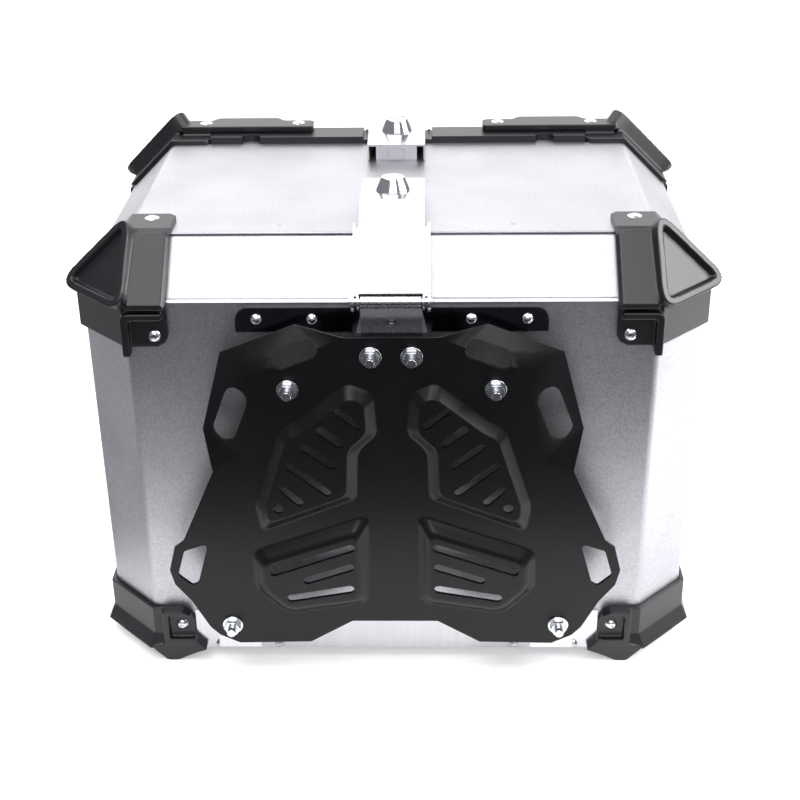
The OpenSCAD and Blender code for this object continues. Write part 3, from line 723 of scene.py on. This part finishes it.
@dataclass
class Form:
    """The outer planes of the case and of its lid, from which the sheets and guards are cut."""

    half_width: float = 210.0
    half_depth: float = 150.0
    corner: float = 35.0
    underside: float = 7.0
    seam: float = 282.0
    top: float = 316.0
    inset_x: float = 34.0
    inset_y: float = 39.0

    def outline(self, grow: float) -> list[tuple[float, float]]:
        """The plan with its four chamfered corners.

        Args:
            grow: how far it is grown outwards, in millimetres.

        Returns:
            The plan's eight corners.
        """
        width = self.half_width + grow
        depth = self.half_depth + grow
        leg = self.corner + grow * (2 - math.sqrt(2))
        return [
            (leg - width, -depth), (width - leg, -depth), (width, leg - depth), (width, depth - leg),
            (width - leg, depth), (leg - width, depth), (-width, depth - leg), (-width, leg - depth),
        ]

    def column(self, name: str, grow: float, low: float, high: float) -> Object:
        """A solid column on the plan.

        Args:
            name: the object's name.
            grow: how far the plan is grown.
            low: height of its lower end.
            high: height of its upper end.

        Returns:
            The solid.
        """
        points = [at(x, y, low) for x, y in self.outline(grow)]
        return prism(name, points, Vector((0, 0, (high - low) * MM)))

    def hood(self, name: str, grow: float) -> Object:
        """The lid's solid form, with its slanted faces moved outwards.

        Args:
            name: the object's name.
            grow: how far each face is moved outwards, in millimetres.

        Returns:
            The solid.
        """
        rise = self.top - self.seam
        slope_x = math.atan2(rise, self.inset_x)
        slope_y = math.atan2(rise, self.inset_y)
        side = grow / math.sin(slope_x)
        front = grow / math.sin(slope_y)
        width = self.half_width + side
        depth = self.half_depth + front
        leg = self.corner + (side + front) * (1 - math.sqrt(2) / 2)
        top_x = self.half_width - self.inset_x + side - grow / math.tan(slope_x)
        top_y = self.half_depth - self.inset_y + front - grow / math.tan(slope_y)
        piece = block(name, at(-width, -depth, self.seam), at(width, depth, self.top + grow))
        with editing(piece):
            bevel(piece, upright, leg)
            high = at(0, 0, self.top + grow).z
            for turn_x in (-1, 1):
                for turn_y in (-1, 1):
                    pick(
                        piece, "VERT",
                        lambda corner: corner.co.z > high - MM / 10
                        and corner.co.x * turn_x > 0 and corner.co.y * turn_y > 0,
                    )
                    bpy.ops.mesh.merge(type="CENTER")
                    shape = bmesh.from_edit_mesh(piece.data)
                    here = next(corner.co.copy() for corner in shape.verts if corner.select)
                    there = at(turn_x * top_x, turn_y * top_y, self.top + grow)
                    bpy.ops.transform.translate(value=there - here)
        face_outwards(piece)
        return piece

    def corner_face(self) -> Matrix:
        """The frame of the front right triangular face.

        Returns:
            X level along the face, Y up the face and Z out of it, from a point a third up.
        """
        middle_x = self.half_width - self.corner / 2
        middle_y = self.corner / 2 - self.half_depth
        top_x = self.half_width - self.inset_x
        top_y = self.inset_y - self.half_depth
        rise = self.top - self.seam
        tilt = math.atan2(rise, math.hypot(middle_x - top_x, middle_y - top_y))
        place = at((2 * middle_x + top_x) / 3, (2 * middle_y + top_y) / 3, self.seam + rise / 3)
        turn = Matrix.Rotation(math.radians(45), 4, "Z")
        return Matrix.Translation(place) @ turn @ Matrix.Rotation(tilt, 4, "X")

    def front_slope(self) -> Matrix:
        """The frame of the lid's slanted front face.

        Returns:
            X to the right, Y up the slope and Z out of it, from the middle of its lower edge.
        """
        tilt = math.atan2(self.top - self.seam, self.inset_y)
        return Matrix.Translation(at(0, -self.half_depth, self.seam)) @ Matrix.Rotation(tilt, 4, "X")


FORM = Form()


def cut_away(piece: Object, place: Vector, normal: Vector, fill: bool = True) -> None:
    """Cuts a mesh at a plane and drops the side that the normal points to.

    Args:
        piece: the object.
        place: a point of the plane.
        normal: the plane's normal.
        fill: whether the cut is closed with a face.
    """
    with editing(piece, "SELECT"):
        bpy.ops.mesh.bisect(plane_co=place, plane_no=normal, use_fill=fill, clear_outer=True)


# ---------------- case body

@dataclass
class CaseBody:
    """The folded aluminium tray with its rim, rack holes, stiffener and seal."""

    sheet: float = 1.5
    rim: float = 9.0
    wall_top: float = 281.6
    flange_top: float = 280.5
    bend: float = 3.0
    hole_radius: float = 3.3
    hole_x: float = 90.0
    hole_y: float = 60.0

    def tray(self) -> Object:
        """Folds the tray: walls, floor and rounded bends.

        Returns:
            The open tray with its thickness.
        """
        piece = block(
            "case_tray", at(-FORM.half_width, -FORM.half_depth, FORM.underside),
            at(FORM.half_width, FORM.half_depth, self.wall_top),
        )
        floor = at(0, 0, FORM.underside).z
        lip = at(0, 0, self.wall_top).z
        with editing(piece):
            bevel(piece, upright, FORM.corner)
            bevel(piece, upright, self.bend, 4)
            bevel(
                piece, lambda edge: max(corner.co.z for corner in edge.verts) < floor + MM / 10,
                self.bend * 0.7, 3,
            )
            pick(piece, "FACE", lambda face: face.calc_center_median().z > lip - MM / 10)
            bpy.ops.mesh.delete(type="FACE")
        thicken(piece, self.sheet)
        return piece

    def build(self) -> None:
        """Builds the tray with its flange and holes, and dresses what lies in it."""
        piece = self.tray()
        flange = FORM.column("flange", -self.sheet * 0.5, self.flange_top - self.sheet, self.flange_top)
        mouth = FORM.column("mouth", -self.rim, self.flange_top - 9, self.flange_top + 9)
        combine(flange, [mouth], "DIFFERENCE")
        combine(piece, [flange])
        drills = []
        for side in (-1, 1):
            for end in (-1, 1):
                bpy.ops.mesh.primitive_cylinder_add(
                    vertices=32, radius=self.hole_radius * MM, depth=9 * MM,
                    location=at(side * self.hole_x, end * self.hole_y, FORM.underside),
                )
                drills.append(settle(bpy.context.object))
        combine(piece, drills, "DIFFERENCE")
        install(piece, ["body_shell"])
        deburr("floor_stiffener", 0.4)
        dress("rim_seal")


# ---------------- lid

@dataclass
class Lid:
    """The top sheet folded down at both sides, the two end panels, the frame and their rivets."""

    sheet: float = 1.5
    lap: float = 111.6
    flange_reach: float = 85.0
    bend: float = 2.6
    gap: float = 1.5

    def top_sheet(self) -> None:
        """Builds the top with its two slanted sides."""
        piece = FORM.hood("lid_top", 0.0)
        for end in (-1, 1):
            cut_away(piece, at(0, end * self.lap, 0), Vector((0, end, 0)), fill=False)
        cut_away(piece, at(0, 0, FORM.seam + self.gap), Vector((0, 0, -1)), fill=False)
        fold = at(0, 0, FORM.top).z
        with editing(piece):
            bevel(
                piece, lambda edge: abs(heading(edge).y) > 0.999 and middle(edge).z > fold - MM / 10,
                self.bend, 4,
            )
        thicken(piece, self.sheet)
        soften(piece, 0.3, 2, 60)
        install(piece, ["lid_top_sheet"], smooth=25)

    def end_panel(self, end: int, node: str) -> None:
        """Builds a slanted end panel with its two corner faces and its flange under the top.

        Args:
            end: -1 for the front, 1 for the rear.
            node: the CAD node that it replaces.
        """
        piece = FORM.hood(node.replace("lid_", "lid_bent_"), -self.sheet)
        cut_away(piece, at(0, end * self.flange_reach, 0), Vector((0, -end, 0)), fill=False)
        cut_away(piece, at(0, 0, FORM.seam + self.gap), Vector((0, 0, -1)), fill=False)
        with editing(piece):
            pick(piece, "FACE", lambda face: abs(face.normal.x) > 0.6 and abs(face.normal.y) < 0.1)
            bpy.ops.mesh.delete(type="FACE")
            bevel(
                piece, lambda edge: len(edge.link_faces) == 2 and edge.calc_face_angle() > 0.2,
                self.bend, 4,
            )
        thicken(piece, self.sheet)
        soften(piece, 0.3, 2, 60)
        install(piece, [node], smooth=25)

    def build(self) -> None:
        """Builds the sheets and rounds the frame's and rivets' edges."""
        self.top_sheet()
        self.end_panel(-1, "lid_front_panel")
        self.end_panel(1, "lid_rear_panel")
        deburr("lid_rim_frame", 0.5)
        deburr("lid_panel_rivets", 0.15, finish=BLASTED_ALUMINIUM)
        deburr("lid_guard_rivets", 0.15, smooth=70)
        deburr("rear_cross_rail", 1.0, 3)


# ---------------- corner guards

@dataclass
class Guards:
    """The moulded corner guards of the lid, the upper body and the feet."""

    wall: float = 3.5
    inner_x: float = 147.0
    inner_y: float = 83.0
    skirt: float = 30.0
    foot: float = 43.0
    grid: float = 0.7
    rib_out: float = 8.5
    hem_out: float = 8.3
    clear: float = 20.0

    def slope_solid(self, name: str, corners: Outline, low: float, high: float) -> Object:
        """A solid that stands on the lid's slanted front.

        Args:
            name: the object's name.
            corners: its outline, as (right, up the slope).
            low: height of its underside over the face.
            high: height of its upper side over the face.

        Returns:
            The solid.
        """
        place = FORM.front_slope()
        points = [place @ Vector((x * MM, y * MM, low * MM)) for x, y in corners]
        along = place.to_3x3() @ Vector((0, 0, (high - low) * MM))
        return prism(name, points, along)

    def keep_corner(self, piece: Object, inner_x: float) -> None:
        """Cuts a form down to its front right corner.

        Args:
            piece: the object.
            inner_x: where its inner end is.
        """
        cut_away(piece, at(inner_x, 0, 0), Vector((-1, 0, 0)))
        cut_away(piece, at(0, -self.inner_y, 0), Vector((0, 1, 0)))

    def skin(self) -> Object:
        """The guard's skin over the corner of the lid.

        Returns:
            The closed skin.
        """
        piece = FORM.hood("guard_skin", self.wall)
        self.keep_corner(piece, self.inner_x)
        cut_away(piece, at(self.inner_x + 4, -self.inner_y, 0), Vector((-1, 1, 0)))
        return piece

    def wing(self, tip: float, rise: float) -> Object:
        """The rounded triangular cup over the corner.

        Args:
            tip: how far its upper corner is lengthened.
            rise: height of its rim over the corner face.

        Returns:
            The cup, with a flat rim and a sunk middle.
        """
        corners = [(-37.0, -21.3), (36.6, -21.3), (1.2, 43.4 + tip)]
        place = FORM.corner_face()
        points = [place @ Vector((x * MM, y * MM, -4 * MM)) for x, y in rounded(corners, 11, 8)]
        outwards = place.to_3x3() @ Vector((0, 0, 1))
        piece = prism("guard_wing", points, outwards * (rise + 4) * MM)
        with editing(piece):
            pick(piece, "FACE", lambda face: face.normal.dot(outwards) > 0.99)
            bpy.ops.mesh.inset(thickness=5.0 * MM)
            bpy.ops.mesh.inset(thickness=3.2 * MM, depth=-7.0 * MM)
        return piece

    def lid_guard(self, tip: float, rise: float) -> list[Object]:
        """The skin with its tab, the raised strip and the wing of a lid guard.

        Args:
            tip: how far the wing's upper corner is lengthened.
            rise: height of the wing's rim over the corner face.

        Returns:
            The sharp-edged solids of the front right guard.
        """
        piece = self.skin()
        panel = self.slope_solid(
            "guard_panel",
            [(147.3, -7.0), (173.5, -7.0), (173.5, 46.0), (168.5, 50.8), (151.0, 50.8), (147.3, 47.0)],
            2.0, 3.7,
        )
        outwards = FORM.front_slope().to_3x3() @ Vector((0, 0, 1))
        with editing(panel):
            pick(panel, "FACE", lambda face: face.normal.dot(outwards) > 0.99)
            bpy.ops.mesh.inset(thickness=2.1 * MM, depth=2.4 * MM)
        return [piece, panel, self.wing(tip, rise)]

    def room_below(self, rear: bool) -> list[Object]:
        """The room that a lid guard leaves for the lid and for the body guard.

        Args:
            rear: whether it is a rear guard, which ends above the seam.

        Returns:
            The solids to cut away.
        """
        lid = FORM.hood("lid_inside", 0.0)
        if rear:
            return [lid, FORM.column("room", 60.0, FORM.seam - 40, FORM.seam + 1.5)]
        ledge = block(
            "ledge", at(self.inner_x - 5, -FORM.half_depth - self.rib_out - 0.6, 240), at(178, -140, 277.6),
        )
        return [lid, FORM.column("room", self.wall + 0.6, FORM.seam - 40, FORM.seam + 0.2), ledge]

    def body_guard(self) -> Object:
        """The skirt under the seam with its angled rib, for the front right corner.

        Returns:
            The sharp-edged solid.
        """
        low = FORM.seam - self.skirt
        piece = FORM.column("guard_skirt", self.wall, low, FORM.seam - 1)
        self.keep_corner(piece, self.inner_x)
        front = -FORM.half_depth - self.rib_out
        rib = [
            (150.0, 277.0, 1), (177.0, 277.0, 6), (177.0, 246.5, 1.5),
            (171.8, 246.5, 1.5), (171.8, 272.4, 2.5), (150.0, 272.4, 1),
        ]
        angled = front_solid("guard_rib", rounded(rib, 1), front, self.rib_out + 4)
        below = [(140, 259), (147, 259), (149, 254.8), (154, 252), (154, 240), (140, 240)]
        rounding = front_solid("rounding", below, -FORM.half_depth - self.clear, 25)
        return carve("body_guard", [piece, angled], [FORM.column("case_inside", 0.0, 200, 300), rounding])

    def foot_guard(self) -> Object:
        """The foot with its flared hem, screw pocket, toe and pad, for the front right corner.

        Returns:
            The sharp-edged solid.
        """
        piece = FORM.column("guard_foot", self.wall, 10, self.foot)
        hem = FORM.column("hem", self.wall, 10, 21)
        with editing(hem):
            low = at(0, 0, 10).z
            pick(
                hem, "FACE",
                lambda face: face.normal.z < -0.9 and face.calc_center_median().z < low + MM / 10,
            )
            bpy.ops.transform.resize(
                value=((FORM.half_width + self.hem_out) / (FORM.half_width + self.wall),
                       (FORM.half_depth + self.hem_out) / (FORM.half_depth + self.wall), 1),
                center_override=(0, 0, low),
            )
        pad = FORM.column("pad", -14.0, 0, 12)
        toe_outline = [
            (147.5, 19.0), (138.5, 9.0, 1), (147.5, 6.0, 3), (160.0, 0.0, 2),
            (168.0, 0.0, 2), (178.0, 10.0, 2), (178.0, 12.0),
        ]
        toe = front_solid("toe", rounded(toe_outline, 0), -FORM.half_depth - self.hem_out, 22)
        frame_outline = [(145, 14.0, 1), (169.5, 14.0, 1), (169.5, 42.8, 2), (145, 42.8, 8)]
        pocket = front_solid("pocket", rounded(frame_outline, 1), -FORM.half_depth - 8.6, 12)
        sunk = [(146.5, 18.5), (165.0, 18.5), (165.0, 39.0), (146.5, 39.0)]
        hollow = front_solid("hollow", rounded(sunk, 2), -FORM.half_depth - self.clear, 16.3)
        above = [(140, 60), (140, 33), (146, 33), (149, 39.5), (155, 43.2), (155, 60)]
        shoulder = front_solid("shoulder", above, -FORM.half_depth - self.clear, 25)
        combine(piece, [hem, pocket, pad])
        combine(piece, [hollow, shoulder], "DIFFERENCE")
        self.keep_corner(piece, self.inner_x - 0.6)
        inside = FORM.column("case_inside", 0.0, FORM.underside, 60)
        return carve("foot_guard", [piece, toe], [inside])

    def place_all(self, piece: Object, stem: str, ends: Sequence[tuple[int, str]]) -> None:
        """Moulds a front right guard and copies it to the corners of the given ends.

        Args:
            piece: the sharp-edged front right guard.
            stem: the first part of the CAD nodes' names.
            ends: (-1, "front") or (1, "rear"), or both.
        """
        mould(piece, self.grid)
        for end, end_name in ends:
            for side, side_name in ((-1, "left"), (1, "right")):
                node = f"{stem}_{end_name}_{side_name}"
                twin = duplicate(piece, f"{node}_moulding", side < 0, end > 0)
                install(twin, [node], smooth=60)
        bpy.data.objects.remove(piece)

    def rear_bar(self) -> Object:
        """The raised bar of a rear guard, drawn as if at the front right corner.

        Returns:
            The solid.
        """
        plan = [
            (67.0, -97.0, 3), (172.0, -97.0, 2), (172.0, -115.0, 2), (149.0, -115.0, 4), (144.0, -122.0, 4),
            (96.0, -122.0, 4), (91.0, -115.0, 4), (67.0, -115.0, 4),
        ]
        bar = prism("bar", [at(x, y, 321.4) for x, y in rounded(plan, 2)], Vector((0, 0, 5 * MM)))
        root = block("root", at(self.inner_x + 1, -115, 317), at(170, -97, 325))
        combine(bar, [root])
        return bar

    def build(self) -> None:
        """Moulds one guard of each kind and copies it to its corners."""
        both = ((-1, "front"), (1, "rear"))
        front = carve("front_lid_guard", self.lid_guard(0.0, 8.0), self.room_below(False))
        self.place_all(front, "lid_guard", both[:1])
        rear = carve("rear_lid_guard", self.lid_guard(12.0, 10.0) + [self.rear_bar()], self.room_below(True))
        self.place_all(rear, "lid_guard", both[1:])
        self.place_all(self.body_guard(), "body_guard", both)
        self.place_all(self.foot_guard(), "foot_guard", both)
        for node in ("body_guard_screws", "foot_guard_screws"):
            deburr(node, 0.35)


# ---------------- backrest

@dataclass
class Backrest:
    """The pressed plate with its folded margins, raised vents and slots, and what holds it."""

    front: float = -176.5
    sheet: float = 2.5
    rise: float = 6.6
    flank: float = 8.0
    lead_in: float = 1.8
    lead_rise: float = 0.35
    corner: float = 6.0
    crest_radius: float = 3.0
    bracket_corner: float = 9.0
    before: float = 30.0
    cut: float = 90.0
    flat: Outline = (
        (0, 269), (30, 269), (85, 245), (88, 240), (99, 177), (121, 170), (145, 115),
        (151.6, 110), (156.5, 91), (153.7, 79), (143, 65), (131.5, 43), (125, 36),
        (111, 29), (60, 30), (30, 48), (0, 48),
    )
    peak: tuple[float, float, float] = (62.5, 15.0, 272.0)
    shoulder: tuple[float, float, float] = (113.0, 16.0, 251.5)
    hip: tuple[float, float, float] = (128.0, 15.0, 195.0)
    loop: Outline = (
        (128, 113), (145, 107), (150.8, 87), (141, 78), (137, 81),
    )
    upper_vent: Outline = (
        (10.7, 230), (29, 238), (64, 209), (76, 203), (94.5, 145), (91, 122),
        (23.5, 149), (22, 186), (8.6, 199),
    )
    lower_vent: Outline = (
        (16, 137.4), (16.4, 63.6), (76, 53.8), (99, 76.4), (98.3, 107.6),
    )
    vent_slots: Slots = (
        ((35, 218.6), (22.4, 207.7), 2.7), ((46.8, 204.6), (34.8, 195), 3.2),
        ((57.9, 191.7), (40.7, 178.3), 2.8), ((68.2, 177.3), (43.7, 157.4), 2.8),
        ((73.2, 159.6), (63, 149.9), 2.8), ((77.6, 144.8), (77.4, 144.8), 3.6),
        ((82.8, 93.8), (29.6, 113.2), 3.1), ((60, 87), (30.3, 97.5), 3.0), ((71.7, 72.1), (30.8, 79.6), 3.1),
    )
    strap_slots: Slots = (
        ((103, 222), (112, 198), 7.9), ((53.7, 259), (72, 252), 6.2),
    )

    def half_sheet(self) -> Object:
        """Draws the right half: the flat middle and the margins folded back.

        Returns:
            The half as a sheet with no thickness.
        """
        def flat(index: int) -> Vector:
            """A corner of the flat middle, by its number."""
            return at(self.flat[index][0], self.front, self.flat[index][1])

        def margin(corner: tuple[float, float, float]) -> Vector:
            """A corner of the folded margin."""
            return at(corner[0], self.front + corner[1], corner[2])

        peak, shoulder, hip = margin(self.peak), margin(self.shoulder), margin(self.hip)
        piece = sheet_face("backrest_sheet", [flat(index) for index in range(len(self.flat))])
        margins = [
            sheet_face("margin", corners)
            for corners in (
                [flat(1), peak, flat(2)], [peak, shoulder, flat(2)], [flat(2), shoulder, flat(3)],
                [flat(3), shoulder, hip], [flat(3), hip, flat(4)], [flat(4), hip, flat(5)],
            )
        ]
        select_only(piece)
        for strip in margins:
            strip.select_set(True)
        bpy.ops.object.join()
        face_outwards(piece)
        return piece

    def blister(self, outline: Outline, back: float) -> Object:
        """A raised vent with rounded corners, sloping flanks and a rounded crest.

        Args:
            outline: its base outline, as (right, up).
            back: how far it is set back: 0 for the outside, the sheet for the inside.

        Returns:
            The solid, which starts inside or behind the plate.
        """
        start = self.sheet + 3.0 if back else 1.0
        piece = front_solid("blister", outline, self.front + start, back - start)
        crest = (self.front + back - self.rise) * MM
        with editing(piece):
            pick(piece, "FACE", lambda face: face.normal.y < -0.99)
            bpy.ops.mesh.inset(thickness=self.lead_in * MM, depth=self.lead_rise * MM)
            bpy.ops.mesh.inset(
                thickness=(self.flank - self.lead_in) * MM, depth=(self.rise - self.lead_rise) * MM,
            )
            bevel(piece, lambda edge: abs(heading(edge).y) > 0.04, self.corner, 5, True)
            bevel(
                piece, lambda edge: max(corner.co.y for corner in edge.verts) < crest + MM / 100,
                self.crest_radius, 5, True,
            )
        face_outwards(piece)
        return piece

    def plate(self) -> None:
        """Presses, folds and pierces the plate."""
        piece = self.half_sheet()
        mirror_half(piece)
        with editing(piece, "SELECT"):
            bpy.ops.mesh.remove_doubles(threshold=1e-6)
            bpy.ops.mesh.normals_make_consistent(inside=False)
            bpy.ops.mesh.dissolve_limited(angle_limit=math.radians(0.2))
        if sum(face.normal.y * face.area for face in piece.data.polygons) > 0:
            with editing(piece, "SELECT"):
                bpy.ops.mesh.flip_normals()
        thicken(piece, self.sheet)
        soften(piece, 0.7, 2, 50)
        cut_away(piece, at(0, 0, 0), Vector((-1, 0, 0)))
        face_outwards(piece)
        vents = (self.upper_vent, self.lower_vent)
        slots = [
            front_solid("slot", capsule(start, end, radius), self.front - self.before, self.cut)
            for start, end, radius in self.vent_slots + self.strap_slots
        ]
        slots.append(front_solid("loop", rounded(self.loop, 3), self.front - self.before, self.cut))
        combine(piece, [self.blister(vent, 0.0) for vent in vents])
        combine(piece, [self.blister(vent, self.sheet) for vent in vents] + slots, "DIFFERENCE")
        with editing(piece):
            pick(piece, "FACE", lambda face: abs(face.calc_center_median().x) < MM / 100)
            bpy.ops.mesh.delete(type="FACE")
        mirror_half(piece)
        face_outwards(piece)
        install(piece, ["backrest_plate"], smooth=40)

    def upper_bracket(self) -> None:
        """Rounds the upper bracket's two outer corners and its edges."""
        piece = merged("upper_backrest_bracket")
        ends = [bound.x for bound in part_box("upper_backrest_bracket")]
        high = at(0, 0, 275).z
        with editing(piece):
            bevel(
                piece,
                lambda edge: abs(heading(edge).y) > 0.99 and middle(edge).z > high
                and min(abs(middle(edge).x - end) for end in ends) < MM / 10,
                self.bracket_corner, 6,
            )
        soften(piece, 0.4)
        install(piece, ["upper_backrest_bracket"])

    def build(self) -> None:
        """Builds the plate and rounds the edges of its brackets and fasteners."""
        self.plate()
        self.upper_bracket()
        deburr("lower_backrest_bracket", 0.5)
        for node in ("backrest_studs", "backrest_flange_nuts"):
            deburr(node, 0.2, 1, smooth=24)
        deburr("upper_bracket_rivets", 0.15, smooth=70)
        deburr("lower_bracket_rivets", 0.35, finish=TUMBLED_STEEL)


# ---------------- latches

@dataclass
class Latches:
    """The clamp latches at both ends, with their hinges, locks and catches."""

    ends: tuple[str, str] = ("front", "rear")
    lock_y: float = 71.0
    lock_z: float = 331.27
    tilt: float = 4.06
    bezel_profile: Outline = (
        (5.2, -7.4), (7.4, -7.4), (7.4, 0.0), (11.7, 0.0), (11.8, 0.5), (8.2, 8.6), (7.8, 9.2), (7.2, 9.45),
        (5.8, 9.45), (5.4, 9.3), (5.2, 8.8),
    )

    def bezel(self, end: str) -> None:
        """Turns the conical bezel of a lock.

        Args:
            end: "front" or "rear".
        """
        turn = -1 if end == "front" else 1
        place = Matrix.Translation(at(0, turn * self.lock_y, self.lock_z))
        place @= Matrix.Rotation(math.radians(turn * self.tilt), 4, "X")
        piece = turned(f"{end}_bezel_turning", self.bezel_profile, place, 48)
        soften(piece, 0.2, 2, 28)
        install(piece, [f"{end}_lock_bezel"], smooth=28)

    def build(self) -> None:
        """Rounds and dresses the pieces of both latches."""
        for end in self.ends:
            deburr(f"{end}_latch_arm", 0.6, 3)
            deburr(f"{end}_channel", 0.5)
            deburr(f"{end}_catch", 0.3)
            deburr(f"{end}_hinge_pin", 0.3)
            deburr(f"{end}_hinge_sleeve", 0.4, finish=TUMBLED_STEEL)
            deburr(f"{end}_hinge_bracket", 0.6)
            self.bezel(end)
            deburr(f"{end}_lock_core", 0.3)
            dress(f"{end}_lock_cam")
        deburr("hinge_bracket_screws", 0.3)


# ---------------- studio

@dataclass
class Studio:
    """A plain pale floor, soft boxes and the camera."""

    floor_size: float = 40.0
    backlight: float = 0.3
    camera_place: tuple[float, float, float] = (0.0246, -1.0066, 0.6448)
    camera_turn: float = 0.0231
    camera_tilt: float = 1.0952
    camera_roll: float = -0.0127
    lens: float = 64.53

    def floor(self) -> None:
        """Lays the floor under the feet."""
        bpy.ops.object.select_all(action="DESELECT")
        bpy.ops.mesh.primitive_plane_add(size=self.floor_size, location=(0, 0, GROUND))
        piece = settle(bpy.context.object)
        piece.name = "studio_floor"
        # Matt white paper roll, calendered: an even pale ground.
        paper = Finish("white_paper_roll", "#f4f4f4", "#f0f0f1", 0.8, 0.05, 3.0, 0.01, ior=1.3)
        paper_material = paper.material()
        shader = next(node for node in paper_material.node_tree.nodes if node.type == "BSDF_PRINCIPLED")
        shader.inputs["Emission Color"].default_value = linear("#ffffff")
        shader.inputs["Emission Strength"].default_value = self.backlight
        piece.data.materials.append(paper_material)
        # Grey cloth to the left keeps the left chamfer's reflection down.
        wool = Finish("grey_stage_cloth", "#a0a0a2", "#9a9a9c", 0.9, 0.05, 1.0, 0.01, ior=1.3)
        self.cloth("studio_grey_cloth", (-1.7, -0.37), (-0.3, 0.35), wool)
        # Black cloth on the floor before the case: fronts reflect it dark.
        felt = Finish("black_stage_cloth", "#2a2a2c", "#262628", 0.9, 0.05, 1.0, 0.01, ior=1.3)
        self.cloth("studio_black_cloth", (-3, -4), (3, -0.37), felt)
        self.backdrop(paper_material)

    def cloth(self, name: str, low: tuple[float, float], high: tuple[float, float], finish: Finish) -> None:
        """Lays a cloth that only mirror reflections show, so that every view has a plain pale floor.

        Args:
            name: the cloth's name.
            low: its left front corner in metres.
            high: its right rear corner in metres.
            finish: its finish.
        """
        piece = block(name, Vector((*low, GROUND + 0.001)), Vector((*high, GROUND + 0.003)))
        piece.data.materials.append(finish.material())
        piece.visible_camera = False
        piece.visible_diffuse = False
        piece.visible_shadow = False

    def backdrop(self, paper: Material) -> None:
        """Hangs the paper round the whole room, seen directly but not in reflections.

        Args:
            paper: the floor's material.
        """
        bpy.ops.object.select_all(action="DESELECT")
        bpy.ops.mesh.primitive_uv_sphere_add(segments=48, ring_count=24, radius=self.floor_size * 0.48)
        piece = settle(bpy.context.object)
        piece.name = "studio_backdrop"
        bright = paper.copy()
        bright.name = "lit_paper_backdrop"
        shader = next(node for node in bright.node_tree.nodes if node.type == "BSDF_PRINCIPLED")
        shader.inputs["Emission Strength"].default_value = 1.0
        piece.data.materials.append(bright)
        piece.visible_diffuse = False
        piece.visible_glossy = False
        piece.visible_shadow = False

    def softbox(
        self, name: str, place: Vector, target: Vector, size: tuple[float, float], power: float,
    ) -> None:
        """Hangs a rectangular soft light.

        Args:
            name: the light's name.
            place: where it hangs.
            target: what it points at.
            size: its width and height in metres.
            power: its power in watts.
        """
        lamp = bpy.data.lights.new(name, "AREA")
        lamp.shape = "RECTANGLE"
        lamp.size, lamp.size_y = size
        lamp.energy = power
        holder = bpy.data.objects.new(name, lamp)
        holder.location = place
        holder.rotation_euler = (target - place).to_track_quat("-Z", "Y").to_euler()
        bpy.context.scene.collection.objects.link(holder)

    def lights(self) -> None:
        """Hangs the lights and sets the even light of the room."""
        aim = Vector((0, 0, 0.2))
        self.softbox("overhead_box", Vector((-0.55, -0.4, 2.0)), Vector((-0.4, -0.3, 0)), (2.4, 2.0), 50)
        self.softbox("back_box", Vector((0.0, 2.4, 1.6)), aim, (4.6, 3.2), 80)
        self.softbox("right_box", Vector((1.75, 0.05, 1.15)), Vector((0.1, 0, 0.25)), (0.9, 0.7), 26)
        self.softbox("floor_box", Vector((0.95, -0.3, 0.95)), Vector((0.55, -0.2, 0)), (0.7, 0.7), 9)
        self.softbox("front_box", Vector((0.1, -2.4, 1.9)), aim, (2.2, 0.9), 24)
        world = bpy.data.worlds.new("room")
        world.use_nodes = True
        world.node_tree.nodes["Background"].inputs["Color"].default_value = linear("#e8eaf0")
        world.node_tree.nodes["Background"].inputs["Strength"].default_value = 0.32
        bpy.context.scene.world = world

    def camera(self) -> None:
        """Sets up the camera in front of the case."""
        lens = bpy.data.cameras.new("camera")
        lens.lens = self.lens
        lens.sensor_width = 36.0
        holder = bpy.data.objects.new("camera", lens)
        holder.matrix_world = (
            Matrix.Translation(self.camera_place)
            @ Matrix.Rotation(self.camera_turn, 4, "Z")
            @ Matrix.Rotation(self.camera_tilt, 4, "X")
            @ Matrix.Rotation(self.camera_roll, 4, "Z")
        )
        bpy.context.scene.collection.objects.link(holder)
        bpy.context.scene.camera = holder
        bpy.context.scene.view_settings.view_transform = "Standard"

    def build(self) -> None:
        """Builds the studio."""
        self.floor()
        self.lights()
        self.camera()


def corners(box: Sequence[Vector]) -> list[list[float]]:
    """A box's two corners as plain lists.

    Args:
        box: its lowest and highest corners.

    Returns:
        The corners.
    """
    return [list(corner) for corner in box]


def main() -> None:
    """Builds the top case and its studio."""
    logging.basicConfig(level=logging.INFO, format="%(name)s: %(message)s")
    Studio().build()
    CaseBody().build()
    Lid().build()
    Guards().build()
    Backrest().build()
    Latches().build()


if __name__ == "__main__":
    main()
